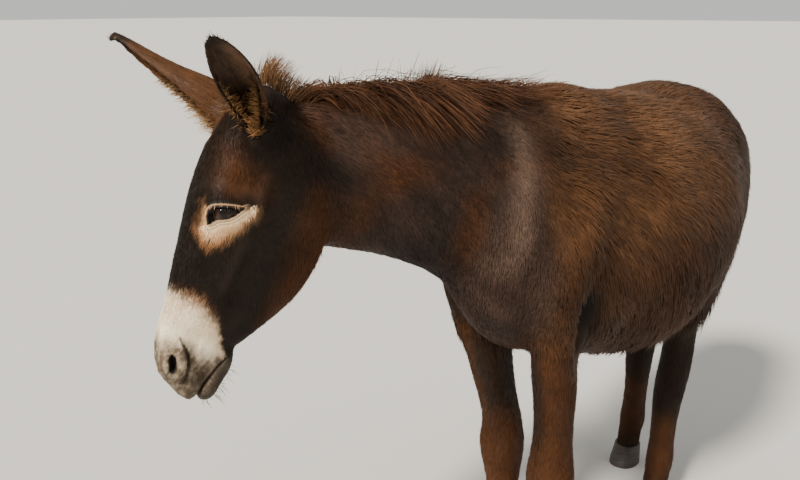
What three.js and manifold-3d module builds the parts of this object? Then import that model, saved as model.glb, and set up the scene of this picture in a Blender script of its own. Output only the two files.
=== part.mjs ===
// A life-size still model of a standing donkey, its head lowered and turned a little to its right.
// Millimetres, +Z up. The donkey faces -Y, and its left side is +X. The origin is on the floor,
// in the middle of the model's box. The outer form is the tips of the coat.
import * as THREE from "three";
import { mergeVertices } from "three/addons/utils/BufferGeometryUtils.js";
import Module from "manifold-3d";

const wasm = await Module();
wasm.setup();

// Driving dimensions.
const WITHERS_HEIGHT = 1252; // the floor to the top of the shoulders
const HEAD_LENGTH = 530; // the poll to the end of the muzzle
const EAR_LENGTH = 275; // the root to the tip
const EYE_RADIUS = 24;
const EYE_PLACE = [187, -54, 73]; // along the nose, up from the face and to the side
const GAP = 0.3; // the thin cut between neighbouring pieces
const SHIFT = [67.9, 224.6, 0]; // moves the box's middle over the origin

// How the head is carried: the poll's place (forward, left, up) and three angles in degrees.
const POLL = [948, -241, 1268];
const HEAD_PITCH = 68.4; // the nose below the horizontal
const HEAD_YAW = -27; // the nose turned to the donkey's right
const HEAD_ROLL = 10;

const COLOURS = {
  coat: 0x35221a,
  darkCoat: 0x1d1613,
  redCoat: 0x4a2a1c,
  muzzle: 0xcfc0ae,
  hoof: 0x3b342c,
  eye: 0x0c0806,
};

// A place given as forward, left and up.
const at = (forward, left, up) => new THREE.Vector3(left, -forward, up);
const FORWARD = at(1, 0, 0);
const LEFT = at(0, 1, 0);
const UP = at(0, 0, 1);

// The head's own axes: towards the nose, towards the forehead, and to the left.
function headAxes() {
  const [pitch, yaw, roll] = [HEAD_PITCH, HEAD_YAW, HEAD_ROLL].map(THREE.MathUtils.degToRad);
  const level = at(Math.cos(yaw), Math.sin(yaw), 0);
  const nose = level.clone().multiplyScalar(Math.cos(pitch)).addScaledVector(UP, -Math.sin(pitch));
  const brow = level.clone().multiplyScalar(Math.sin(pitch)).addScaledVector(UP, Math.cos(pitch));
  const left = at(-Math.sin(yaw), Math.cos(yaw), 0);
  const turned = left.clone().multiplyScalar(Math.cos(roll)).addScaledVector(brow, Math.sin(roll));
  brow.multiplyScalar(Math.cos(roll)).addScaledVector(left, -Math.sin(roll));
  return { nose, brow, left: turned };
}
const HEAD = headAxes();

// A direction, and a place, given along the nose, up from the face and to the left.
const headWay = (x, y, z) =>
  new THREE.Vector3()
    .addScaledVector(HEAD.nose, x)
    .addScaledVector(HEAD.brow, y)
    .addScaledVector(HEAD.left, z);
const headAt = (x, y, z) => at(...POLL).add(headWay(x, y, z));

// Solids ---------------------------------------------------------------------------------

// A closed geometry as a solid, its faces turned outwards if they point in.
function solidOf(geometry) {
  const bare = geometry.clone();
  bare.deleteAttribute("normal");
  bare.deleteAttribute("uv");
  const merged = mergeVertices(bare, 1e-3);
  const vertProperties = new Float32Array(merged.attributes.position.array);
  const triVerts = new Uint32Array(merged.index.array);
  const solid = new wasm.Manifold(new wasm.Mesh({ numProp: 3, vertProperties, triVerts }));
  if (solid.volume() > 0) return solid;
  triVerts.reverse();
  return new wasm.Manifold(new wasm.Mesh({ numProp: 3, vertProperties, triVerts }));
}

function geometryOf(solid) {
  const mesh = solid.getMesh();
  return new THREE.BufferGeometry()
    .setAttribute("position", new THREE.BufferAttribute(new Float32Array(mesh.vertProperties), 3))
    .setIndex(new THREE.BufferAttribute(new Uint32Array(mesh.triVerts), 1));
}

const join = (...solids) => solids.reduce((whole, solid) => whole.add(solid));

// A smooth run through the stations: each is { centre, half, over, under }.
function smoothRun(stations, rings) {
  const centres = new THREE.CatmullRomCurve3(stations.map((s) => s.centre), false, "centripetal");
  const sizes = new THREE.CatmullRomCurve3(
    stations.map((s) => new THREE.Vector3(s.half, s.over, s.under)),
    false,
    "catmullrom",
    0.4,
  );
  return Array.from({ length: rings }, (_, i) => {
    const t = i / (rings - 1);
    const size = sizes.getPoint(t);
    return {
      centre: centres.getPoint(t),
      tangent: centres.getTangent(t),
      half: size.x,
      over: size.y,
      under: size.z,
    };
  });
}

// A closed solid through rings of superellipse section. `side` is the direction of the half
// width, `over` reaches towards `top` and `under` away from it, `taper` narrows the under side.
function loft(stations, { side, top, rings, segments, power = 2.2, taper = 0 }) {
  const points = [];
  const run = smoothRun(stations, rings);
  const bend = (value) => Math.sign(value) * Math.abs(value) ** (2 / power);
  for (const ring of run) {
    const across = side.clone().addScaledVector(ring.tangent, -side.dot(ring.tangent)).normalize();
    const rise = new THREE.Vector3().crossVectors(across, ring.tangent).normalize();
    if (rise.dot(top) < 0) rise.negate();
    for (let j = 0; j < segments; j++) {
      const angle = (2 * Math.PI * j) / segments;
      const lift = bend(Math.sin(angle));
      const narrow = lift < 0 ? 1 + taper * lift : 1;
      points.push(
        ring.centre
          .clone()
          .addScaledVector(across, ring.half * narrow * bend(Math.cos(angle)))
          .addScaledVector(rise, (lift > 0 ? ring.over : ring.under) * lift),
      );
    }
  }
  const first = points.length;
  points.push(run[0].centre.clone(), run[rings - 1].centre.clone());
  const faces = [];
  for (let j = 0; j < segments; j++) {
    const next = (j + 1) % segments;
    for (let i = 0; i + 1 < rings; i++) {
      const [a, b] = [i * segments + j, i * segments + next];
      faces.push(a, b, b + segments, a, b + segments, a + segments);
    }
    const last = (rings - 1) * segments;
    faces.push(first, next, j, first + 1, last + j, last + next);
  }
  return solidOf(new THREE.BufferGeometry().setFromPoints(points).setIndex(faces));
}

// An ellipsoid with its radii along three directions.
function ellipsoid(centre, radii, ways, detail = 12) {
  const geometry = new THREE.SphereGeometry(1, detail * 2, detail);
  const turn = new THREE.Matrix4().makeBasis(...ways).setPosition(centre);
  geometry.applyMatrix4(turn.scale(new THREE.Vector3(...radii)));
  return solidOf(geometry);
}

// All space on one side of a plane, a little back from it.
function beyond(point, normal, gap = GAP / 2) {
  const SIZE = 4000;
  const geometry = new THREE.BoxGeometry(SIZE, SIZE, SIZE);
  const way = normal.clone().normalize();
  geometry.applyQuaternion(new THREE.Quaternion().setFromUnitVectors(UP, way));
  const middle = point.clone().addScaledVector(way, SIZE / 2 + gap);
  geometry.translate(middle.x, middle.y, middle.z);
  return solidOf(geometry);
}

// A box given by its ranges forward, left and up.
function block([back, front], [right, left], [low, high]) {
  const geometry = new THREE.BoxGeometry(left - right, front - back, high - low);
  const middle = at((back + front) / 2, (right + left) / 2, (low + high) / 2);
  geometry.translate(middle.x, middle.y, middle.z);
  return solidOf(geometry);
}

// Body -----------------------------------------------------------------------------------

// Rows of forward, left, up, half width, reach over and reach under.
const stationsOf = (rows) =>
  rows.map(([forward, left, up, half, over, under]) => ({
    centre: at(forward, left, up),
    half,
    over,
    under,
  }));

function trunkMass() {
  const rows = [
    [500, 0, 900, 55, 80, 75],
    [470, 0, 903, 100, 150, 140],
    [400, 0, 915, 140, 250, 225],
    [300, 0, 918, 172, WITHERS_HEIGHT - 918, 250],
    [180, 0, 900, 210, 336, 274],
    [50, 0, 878, 252, 349, 303],
    [-90, 0, 870, 280, 343, 322],
    [-210, 0, 893, 276, 316, 322],
    [-310, 0, 945, 248, 279, 312],
    [-400, 0, 975, 224, 232, 270],
    [-490, 0, 975, 200, 174, 215],
    [-570, 0, 955, 146, 105, 140],
    [-615, 0, 945, 75, 70, 75],
  ];
  const croup = ellipsoid(at(-385, 0, 1157), [100, 105, 58], [LEFT, FORWARD, UP], 6);
  return loft(stationsOf(rows), { side: LEFT, top: UP, rings: 13, segments: 22 }).add(croup);
}

function shoulderMass(side) {
  const rows = [
    [255, side * 40, 1150, 40, 60, 70],
    [290, side * 88, 1060, 58, 88, 88],
    [345, side * 112, 960, 62, 92, 92],
    [385, side * 112, 870, 58, 88, 92],
    [360, side * 108, 790, 56, 88, 92],
    [335, side * 104, 700, 50, 70, 76],
  ];
  return loft(stationsOf(rows), { side: LEFT, top: FORWARD, rings: 6, segments: 10, power: 2 });
}

// The thigh follows its leg, which stands `step` forward of the hip.
function thighMass(side, step) {
  const rows = [
    [-385, side * 100, 1120, 60, 70, 100],
    [-395, side * 128, 1030, 82, 115, 150],
    [-390, side * 140, 920, 88, 142, 195],
    [-375 + 0.25 * step, side * 140, 810, 86, 142, 182],
    [-374 + 0.6 * step, side * 130, 710, 80, 112, 140],
    [-397 + 0.8 * step, side * 116, 630, 62, 80, 94],
  ];
  return loft(stationsOf(rows), { side: LEFT, top: FORWARD, rings: 7, segments: 12, power: 2.1 });
}

function neckMass() {
  const rows = [
    [260, 0, 975, 135, 255, 255],
    [400, -16, 1015, 120, 229, 222],
    [520, -58, 1055, 103, 187, 182],
    [640, -108, 1088, 90, 160, 158],
    [750, -158, 1115, 82, 146, 152],
    [850, -204, 1135, 74, 118, 145],
    [900, -225, 1140, 66, 92, 120],
  ];
  const side = at(Math.sin(THREE.MathUtils.degToRad(22)), Math.cos(THREE.MathUtils.degToRad(22)), 0);
  return loft(stationsOf(rows), { side, top: UP, rings: 9, segments: 20, power: 2.1 });
}

// Rows of place along the nose, top line, bottom line and half width.
function headMass() {
  const WIDEST = 0.34; // of the depth, down from the top line
  const rows = [
    [-25, -48, -110, 44],
    [10, -18, -150, 64],
    [55, 0, -192, 80],
    [105, 9, -222, 91],
    [160, 10, -242, 96],
    [215, 6, -250, 92],
    [265, 2, -240, 81],
    [315, -2, -216, 69],
    [365, -8, -184, 60],
    [410, -10.5, -156, 55],
    [448, -15, -141, 57],
    [HEAD_LENGTH - 52, -29, -132, 56],
    [HEAD_LENGTH - 32, -54, -126, 51],
    [HEAD_LENGTH - 15, -76, -121, 41],
    [HEAD_LENGTH + 2, -94, -114, 27],
  ];
  const stations = rows.map(([along, over, under, half]) => {
    const depth = over - under;
    return {
      centre: headAt(along, over - WIDEST * depth, 0),
      half,
      over: WIDEST * depth,
      under: (1 - WIDEST) * depth,
    };
  });
  const form = { side: HEAD.left, top: HEAD.brow, rings: 19, segments: 20, power: 2.35, taper: 0.3 };
  return loft(stations, form);
}

// The chin, both lips, the wings of the nostrils, and the brows.
function faceMasses() {
  const ways = [HEAD.nose, HEAD.brow, HEAD.left];
  const brows = [1, -1].map((side) => ellipsoid(headAt(176, -40, side * 66), [42, 24, 27], ways, 5));
  const chin = ellipsoid(headAt(455, -135, 0), [46, 28, 32], ways, 5);
  const lower = ellipsoid(headAt(497, -129, 0), [36, 25, 34], ways, 5);
  const upper = ellipsoid(headAt(501, -98, 0), [32, 32, 42], ways, 5);
  const wings = [1, -1].map((side) => ellipsoid(headAt(463, -56, side * 40), [34, 28, 20], ways, 5));
  return join(chin, lower, upper, ...wings, ...brows);
}

// The nostrils and the mouth slit, as dents in the muzzle.
function muzzleDents() {
  const ways = [HEAD.nose, HEAD.brow, HEAD.left];
  const nostrils = [1, -1].map((side) => ellipsoid(headAt(466, -54, side * 60), [17, 7, 11], ways, 5));
  const mouth = [1, -1].map((side) =>
    ellipsoid(headAt(478, -117, side * 50), [38, 2.5, 16], ways, 5),
  );
  return join(...nostrils, ...mouth);
}

// Legs -----------------------------------------------------------------------------------

const KNEE = 385; // the height of the fore knee's middle
const HOOF_TOP = 62; // the height of the coronet

function foreLeg(side, stance, back) {
  const [forward, left] = stance;
  const rows = [
    [345, side * 98, 740, 52, 78, 66],
    [forward + 0.3 * back + 8, side * 92, 660, 53, 68, 60],
    [forward + 0.5 * back + 3, side * 90, 580, 49, 56, 52],
    [forward + 0.75 * back, side * 88, 500, 46, 50, 50],
    [forward + 0.95 * back, side * 87, 440, 50, 52, 51],
    [forward + back + 2, side * 87, KNEE, 58, 57, 53],
    [forward + back - 2, side * 87, 330, 50, 49, 49],
    [forward + back - 4, side * left, 255, 40, 40, 44],
    [forward + back - 2, side * left, 180, 38, 38, 45],
    [forward + back + 2, side * left, 135, 41, 41, 48],
    [forward + back + 14, side * left, 95, 38, 38, 40],
    [forward + back + 24, side * left, HOOF_TOP - 12, 40, 44, 40],
  ];
  return loft(stationsOf(rows), { side: LEFT, top: FORWARD, rings: 15, segments: 11, power: 2.1 });
}

function hindLeg(side, stance, step) {
  const [back, left] = stance;
  const rows = [
    [-372 + 0.6 * step, side * 122, 710, 60, 96, 118],
    [-402 + 0.85 * step, side * 113, 620, 58, 74, 84],
    [back - 12, side * 101, 540, 47, 55, 57],
    [back - 28, side * 94, 465, 46, 52, 53],
    [back - 18, side * 91, 405, 47, 56, 48],
    [back + 4, side * 89, 340, 45, 53, 43],
    [back + 18, side * left, 260, 39, 46, 39],
    [back + 28, side * left, 185, 38, 45, 43],
    [back + 34, side * left, 135, 41, 44, 47],
    [back + 48, side * left, 95, 37, 38, 38],
    [back + 58, side * left, HOOF_TOP - 12, 38, 42, 38],
  ];
  return loft(stationsOf(rows), { side: LEFT, top: FORWARD, rings: 14, segments: 11, power: 2.1 });
}

// A hoof: upright walls, the toe sloping forward, flat underneath and on top.
function hoof([forward, left], size) {
  const rows = [
    [forward + 16, left, -30, 46 * size, 60 * size, 46 * size],
    [forward + 11, left, 6, 46 * size, 57 * size, 46 * size],
    [forward + 2, left, HOOF_TOP - 20, 42 * size, 46 * size, 42 * size],
    [forward - 6, left, HOOF_TOP + 25, 37 * size, 37 * size, 37 * size],
  ];
  const form = { side: LEFT, top: FORWARD, rings: 5, segments: 16, power: 2.3 };
  return loft(stationsOf(rows), form).intersect(block([-1000, 1000], [-500, 500], [0, HOOF_TOP]));
}

// Ears, eyes, mane and tail ---------------------------------------------------------------

const earRoot = (side) => headAt(40, -70, side * 52);

// Each ear's way and the way its hollow faces, in the head's axes, how far its middle bends
// across and out of the hollow, and how far it is opened out and folded.
const EARS = {
  left: {
    side: 1,
    way: [-0.368, 0.486, 0.792],
    hollow: [0.79, -0.287, 0.543],
    bend: [-4, -21],
    open: 0.8,
    fold: 1,
  },
  right: {
    side: -1,
    way: [-0.23, 0.97, -0.07],
    hollow: [0.96, 0.24, 0.13],
    bend: [7, 12],
    open: 1.05,
    fold: 1.85,
  },
};

// The ear is a scoop: a long leaf. Rows of place along it from 0 to 1, half width and half
// thickness.
function ear({ side, way, hollow, bend, open, fold }) {
  const root = earRoot(side);
  const along = headWay(...way).normalize();
  const facing = headWay(...hollow);
  facing.addScaledVector(along, -facing.dot(along)).normalize();
  const across = new THREE.Vector3().crossVectors(along, facing);
  const folded = (t) => 1 + (fold - 1) * Math.min(1, Math.max(0, t / 0.3));
  const leaf = [
    [-0.08, 27, 25],
    [0.06, 32, 29],
    [0.22, 40, 28],
    [0.4, 46, 23],
    [0.58, 44, 18],
    [0.74, 37, 14],
    [0.87, 28, 11],
    [0.96, 18.5, 8.5],
    [1, 10.5, 7.5],
  ].map(([t, half, thick]) => [t, half * open, thick * folded(t)]);
  const place = (t, lift) => {
    const arc = Math.sin(Math.PI * Math.max(t, 0));
    return root
      .clone()
      .addScaledVector(along, EAR_LENGTH * t)
      .addScaledVector(across, bend[0] * arc)
      .addScaledVector(facing, bend[1] * arc + lift);
  };
  const shape = { side: across, top: facing, rings: 12, segments: 14, power: 2 };
  const outer = loft(
    leaf.map(([t, half, thick]) => ({ centre: place(t, 0), half, over: thick, under: thick })),
    shape,
  );
  const WALL = 7;
  const scoop = leaf.slice(2, -1).map(([t, half, thick]) => ({
    centre: place(t, 0.9 * thick),
    half: half - 0.4 * WALL,
    over: thick * 1.2,
    under: Math.max(1.5, 1.9 * thick - WALL),
  }));
  return outer.subtract(loft(scoop, { ...shape, rings: 9, segments: 12 }));
}

function eye(side) {
  const [along, rise, out] = EYE_PLACE;
  const centre = headAt(along, rise, side * out);
  return { centre, solid: ellipsoid(centre, [1, 1, 1].map((n) => n * EYE_RADIUS), [LEFT, FORWARD, UP], 6) };
}

// The short upright mane along the crest of the neck, from between the ears to the withers.
function maneMass() {
  const rows = [
    [890, -214, 1262, 14, 36, 40],
    [850, -202, 1260, 18, 42, 50],
    [770, -166, 1252, 22, 40, 50],
    [690, -128, 1240, 24, 36, 50],
    [600, -90, 1229, 25, 38, 50],
    [520, -58, 1226, 26, 38, 50],
    [440, -28, 1234, 26, 30, 50],
    [370, -8, 1238, 22, 26, 50],
    [310, 0, 1240, 14, 16, 40],
  ];
  return loft(stationsOf(rows), { side: LEFT, top: UP, rings: 11, segments: 8, power: 2 });
}

// The dock of the tail hangs from the croup, with a tuft that ends by the hocks.
function tailMass(rows) {
  return loft(stationsOf(rows), { side: LEFT, top: FORWARD, rings: 8, segments: 10, power: 2 });
}

// The whole donkey, parted --------------------------------------------------------------

const FORE = { left: [338, 88], right: [345, 86] };
const FORE_BACK = { left: 0, right: -85 };
const HIND = { left: [-366, 88], right: [-575, 86] };
const HIND_STEP = { left: 60, right: -60 };
const SIDES = { left: 1, right: -1 };

const pieces = {};
const flesh = [trunkMass(), neckMass(), headMass(), faceMasses()];
for (const [name, side] of Object.entries(SIDES)) {
  flesh.push(shoulderMass(side), thighMass(side, HIND_STEP[name]));
  flesh.push(foreLeg(side, FORE[name], FORE_BACK[name]));
  flesh.push(hindLeg(side, HIND[name], HIND_STEP[name]));
}
let body = join(...flesh);

for (const [name, side] of Object.entries(SIDES)) {
  const globe = eye(side);
  const clear = [1, 1, 1].map((n) => n * (EYE_RADIUS + GAP));
  const socket = ellipsoid(globe.centre, clear, [LEFT, FORWARD, UP], 6);
  body = body.subtract(socket);
  pieces["eye_" + name] = [globe.solid, COLOURS.eye, 0.1];
}
body = body.subtract(muzzleDents());

// The ears stand in the head, which is cut away round their roots.
for (const [name, form] of Object.entries(EARS)) {
  const whole = ear(form);
  const root = earRoot(form.side);
  const along = headWay(...form.way).normalize();
  const base = root.clone().addScaledVector(along, 0.1 * EAR_LENGTH);
  pieces["ear_" + name] = [whole.intersect(beyond(base, along)), COLOURS.coat, 0.9];
  const stump = whole.intersect(beyond(base, along.clone().negate()));
  body = body.subtract(beyond(base, along, -GAP).intersect(aroundEar(root, along))).add(stump);
}

// A short wide cylinder of space round an ear's root, which the ear's upper part needs clear.
function aroundEar(root, along) {
  const REACH = 62;
  const geometry = new THREE.CylinderGeometry(REACH, REACH, EAR_LENGTH, 14);
  geometry.applyQuaternion(new THREE.Quaternion().setFromUnitVectors(at(-1, 0, 0), along));
  geometry.translate(root.x, root.y, root.z);
  return solidOf(geometry);
}

// The neck meets the trunk at a sloping cut before the shoulder, and the head behind the jaw.
const neckCut = [at(405, -15, 1030), at(0.86, -0.2, 0.47)];
const pollCut = [headAt(-4, 0, 0), headWay(0.86, 0.51, 0)];
const front = body.intersect(beyond(...neckCut));
let trunk = body.intersect(beyond(neckCut[0], neckCut[1].clone().negate()));
const head = front.intersect(beyond(...pollCut));
let neck = front.intersect(beyond(pollCut[0], pollCut[1].clone().negate()));

// The muzzle is a piece of its own, up to the pale skin's edge.
const muzzleCut = [headAt(355, -70, 0), headWay(0.92, 0.39, 0)];
pieces.muzzle = [head.intersect(beyond(...muzzleCut)), COLOURS.muzzle, 0.7];
const face = head.intersect(beyond(muzzleCut[0], muzzleCut[1].clone().negate()));
pieces.head = [face, COLOURS.darkCoat, 0.85];

// Each leg is parted from the trunk, at its knee or hock, and above its hoof.
// The space that holds a leg starts further forward above, clear of the belly.
const LEG_ROOM = {
  fore: { top: 618, step: 570, span: [245, 520], lowSpan: [140, 520] },
  hind: { top: 578, step: 538, span: [-760, -268], lowSpan: [-760, -200] },
};
const LEG_JOINT = { fore: KNEE, hind: 440 };
for (const [name, side] of Object.entries(SIDES)) {
  for (const end of ["fore", "hind"]) {
    const across = [4, 300].map((n) => n * side).sort((a, b) => a - b);
    const { top, step, span, lowSpan } = LEG_ROOM[end];
    const room = (grow) => {
      const widen = ([low, high]) => [low - grow, high + grow];
      const above = block(widen(span), widen(across), widen([step - 1, top]));
      return above.add(block(widen(lowSpan), widen(across), widen([-50, step])));
    };
    const leg = trunk.intersect(room(0));
    trunk = trunk.subtract(room(GAP));
    const joint = at(0, 0, LEG_JOINT[end]);
    const coronet = at(0, 0, HOOF_TOP);
    const upper = leg.intersect(beyond(joint, UP));
    const lower = leg.intersect(beyond(joint, at(0, 0, -1))).intersect(beyond(coronet, UP, GAP));
    pieces[end + "leg_" + name + "_upper"] = [upper, COLOURS.coat, 0.9];
    pieces[end + "leg_" + name + "_lower"] = [lower, COLOURS.redCoat, 0.9];
  }
  const [foreAt, foreLeft] = FORE[name];
  const [hindAt, hindLeft] = HIND[name];
  pieces["hoof_fore_" + name] = [
    hoof([foreAt + FORE_BACK[name] + 26, side * foreLeft], 1),
    COLOURS.hoof,
    0.6,
  ];
  pieces["hoof_hind_" + name] = [hoof([hindAt + 60, side * hindLeft], 0.95), COLOURS.hoof, 0.6];
}

// The mane sits on the crest of the neck and the withers, which it is cut to.
const mane = maneMass().subtract(grown(body));
pieces.mane = [biggest(mane), COLOURS.redCoat, 0.9];

const DOCK = [
  [-560, 0, 1075, 26, 26, 26],
  [-612, 2, 1050, 28, 27, 27],
  [-652, 6, 990, 25, 24, 24],
  [-668, 10, 900, 22, 21, 21],
  [-672, 12, 800, 21, 20, 20],
  [-668, 12, 700, 22, 21, 21],
  [-664, 12, 655, 24, 22, 22],
];
const TUFT = [
  [-663, 12, 660, 24, 22, 22],
  [-660, 12, 600, 32, 28, 30],
  [-658, 11, 520, 37, 32, 34],
  [-654, 10, 440, 32, 28, 30],
  [-650, 9, 385, 18, 16, 17],
  [-648, 9, 360, 6, 6, 6],
];
const tailCut = at(0, 0, 657);
const tail = tailMass(DOCK).subtract(grown(trunk));
pieces.tail = [biggest(tail.intersect(beyond(tailCut, UP))), COLOURS.coat, 0.9];
pieces.tail_tuft = [tailMass(TUFT).intersect(beyond(tailCut, at(0, 0, -1))), COLOURS.darkCoat, 0.9];
pieces.trunk = [trunk, COLOURS.coat, 0.9];
pieces.neck = [neck, COLOURS.darkCoat, 0.9];

// The largest body of a solid that a cut has left in pieces.
function biggest(solid) {
  return solid.decompose().sort((a, b) => b.volume() - a.volume())[0];
}

// The solid with copies moved a little each way, which leaves the gap to whatever it cuts.
function grown(solid) {
  const ways = [LEFT, FORWARD, UP].flatMap((way) => [GAP, -GAP].map((d) => way.clone().multiplyScalar(d)));
  return join(solid, ...ways.map((move) => solid.translate([move.x, move.y, move.z])));
}

const donkey = new THREE.Group();
const standing = new THREE.Group();
standing.position.set(...SHIFT);
donkey.add(standing);
for (const [name, [solid, color, roughness]] of Object.entries(pieces)) {
  const material = new THREE.MeshStandardMaterial({ color, roughness, metalness: 0 });
  const mesh = new THREE.Mesh(geometryOf(solid), material);
  mesh.name = name;
  standing.add(mesh);
}

export default donkey;
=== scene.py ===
import math

import bmesh
import bpy
import numpy as np
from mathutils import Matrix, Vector


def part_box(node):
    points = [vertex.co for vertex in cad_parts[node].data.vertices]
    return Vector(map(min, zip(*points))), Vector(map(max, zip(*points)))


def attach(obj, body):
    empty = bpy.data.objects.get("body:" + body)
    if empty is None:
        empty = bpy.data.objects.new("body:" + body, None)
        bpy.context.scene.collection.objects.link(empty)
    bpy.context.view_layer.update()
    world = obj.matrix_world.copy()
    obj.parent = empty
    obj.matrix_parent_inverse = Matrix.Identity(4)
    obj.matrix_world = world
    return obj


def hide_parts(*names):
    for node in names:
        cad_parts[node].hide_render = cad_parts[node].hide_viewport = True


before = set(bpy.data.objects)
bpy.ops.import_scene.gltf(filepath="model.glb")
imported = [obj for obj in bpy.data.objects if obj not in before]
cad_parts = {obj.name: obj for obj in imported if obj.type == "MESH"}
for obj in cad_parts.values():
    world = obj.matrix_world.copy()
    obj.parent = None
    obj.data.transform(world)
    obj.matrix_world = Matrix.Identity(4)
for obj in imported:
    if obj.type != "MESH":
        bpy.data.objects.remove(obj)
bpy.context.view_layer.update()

# A life-size donkey stands with its head lowered. Everything is in metres, in the frame's own
# axes: the donkey faces -Y and its left side is +X. Tables of the body give each place as
# forward, left and up of a point on the floor, as the solids do.

# Driving sizes -----------------------------------------------------------------------------

WITHERS = 1.252
HEAD_LENGTH = 0.530
EAR_LENGTH = 0.275
EAR_WALL = 0.0045
KNEE = 0.385
ELBOW_HOLLOW = (0.330, 0.765)  # forward and up
HOOF_TOP = 0.062
SIDES = {"left": 1, "right": -1}

POLL = (0.948, -0.241, 1.268)  # forward, left and up
HEAD_PITCH, HEAD_YAW, HEAD_ROLL = (math.radians(n) for n in (68.4, -27.0, 10.0))
EYE_RADIUS = 0.024
LID_THICKNESS = 0.0026
EYE_PLACE = (0.187, -0.054, 0.073)  # along the nose, up from the face, to the side

# The stance: each foot's place forward and left, and how far the leg leans.
FORE = {"left": (0.338, 0.088), "right": (0.345, 0.086)}
FORE_BACK = {"left": 0.0, "right": -0.085}
HIND = {"left": (-0.366, 0.088), "right": (-0.575, 0.086)}
HIND_STEP = {"left": 0.060, "right": -0.060}

# How deep the coat lies over the skin, from its roots to its tips.
TRUNK_DEPTH = 0.013
NECK_DEPTH = 0.010
HEAD_DEPTH = 0.004
LEG_DEPTH = 0.005
EAR_DEPTH = 0.003

FINE_CELL = 0.0067  # the skin's mesh over the head
WIDE_CELL = 0.0135  # and over the rest


# Places and directions ----------------------------------------------------------------------


def way(forward, left, up):
    return np.array([left, -forward, up], float)


def unit(v):
    v = np.asarray(v, float)
    return v / np.maximum(np.linalg.norm(v, axis=-1, keepdims=True), 1e-12)


def head_axes():
    """The head's own axes: towards the nose, towards the forehead, and to its left."""
    level = way(math.cos(HEAD_YAW), math.sin(HEAD_YAW), 0)
    up = way(0, 0, 1)
    nose = level * math.cos(HEAD_PITCH) - up * math.sin(HEAD_PITCH)
    brow = level * math.sin(HEAD_PITCH) + up * math.cos(HEAD_PITCH)
    left = way(-math.sin(HEAD_YAW), math.cos(HEAD_YAW), 0)
    turned = left * math.cos(HEAD_ROLL) + brow * math.sin(HEAD_ROLL)
    brow = brow * math.cos(HEAD_ROLL) - left * math.sin(HEAD_ROLL)
    return np.array([nose, brow, turned])


HEAD = head_axes()
FORWARD, LEFT, UP = way(1, 0, 0), way(0, 1, 0), way(0, 0, 1)


def floor_point():
    """The point that the tables count from, found from where the left eye is in the frame."""
    low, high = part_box("eye_left")
    eye = (np.array(low) + np.array(high)) / 2
    return eye - way(*POLL) - np.array(EYE_PLACE) @ HEAD


ORIGIN = floor_point()


def at(forward, left, up):
    return ORIGIN + way(forward, left, up)


POLL_POINT = at(*POLL)


def head_way(along, rise, side):
    return np.array([along, rise, side], float) @ HEAD


def head_at(along, rise, side):
    return POLL_POINT + head_way(along, rise, side)


def eye_place(side):
    along, rise, out = EYE_PLACE
    return head_at(along, rise, side * out)


def in_head(points):
    """Points as distances along the nose, up from the face and to the left."""
    return (points - POLL_POINT) @ HEAD.T


def in_body(points):
    """Points as distances forward, left and up."""
    rel = points - ORIGIN
    return np.stack([-rel[:, 1], rel[:, 0], rel[:, 2]], 1)


def smooth_step(low, high, x):
    t = np.clip((x - low) / (high - low), 0, 1)
    return t * t * (3 - 2 * t)


# Rounded forms, as distances from their surfaces --------------------------------------------


def soft_min(a, b, k):
    h = np.clip(0.5 + 0.5 * (b - a) / k, 0, 1)
    return b + (a - b) * h - k * h * (1 - h)


def smooth_rows(rows, step):
    """Rows on a smooth curve through the given rows, about a step apart."""
    rows = np.array(rows, float)
    gaps = np.linalg.norm(np.diff(rows[:, :3], axis=0), axis=1)
    slopes = np.diff(rows, axis=0) / gaps[:, None]
    turn = np.empty_like(rows)
    turn[0], turn[-1] = slopes[0], slopes[-1]
    before, after = gaps[:-1, None], gaps[1:, None]
    turn[1:-1] = (slopes[:-1] * after + slopes[1:] * before) / (before + after)
    made = []
    for i, gap in enumerate(gaps):
        count = max(1, math.ceil(gap / step))
        for j in range(count):
            t = j / count
            start = (2 * t**3 - 3 * t**2 + 1) * rows[i] + (t**3 - 2 * t**2 + t) * gap * turn[i]
            end = (3 * t**2 - 2 * t**3) * rows[i + 1] + (t**3 - t**2) * gap * turn[i + 1]
            made.append(start + end)
    made.append(rows[-1])
    return np.array(made)


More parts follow.
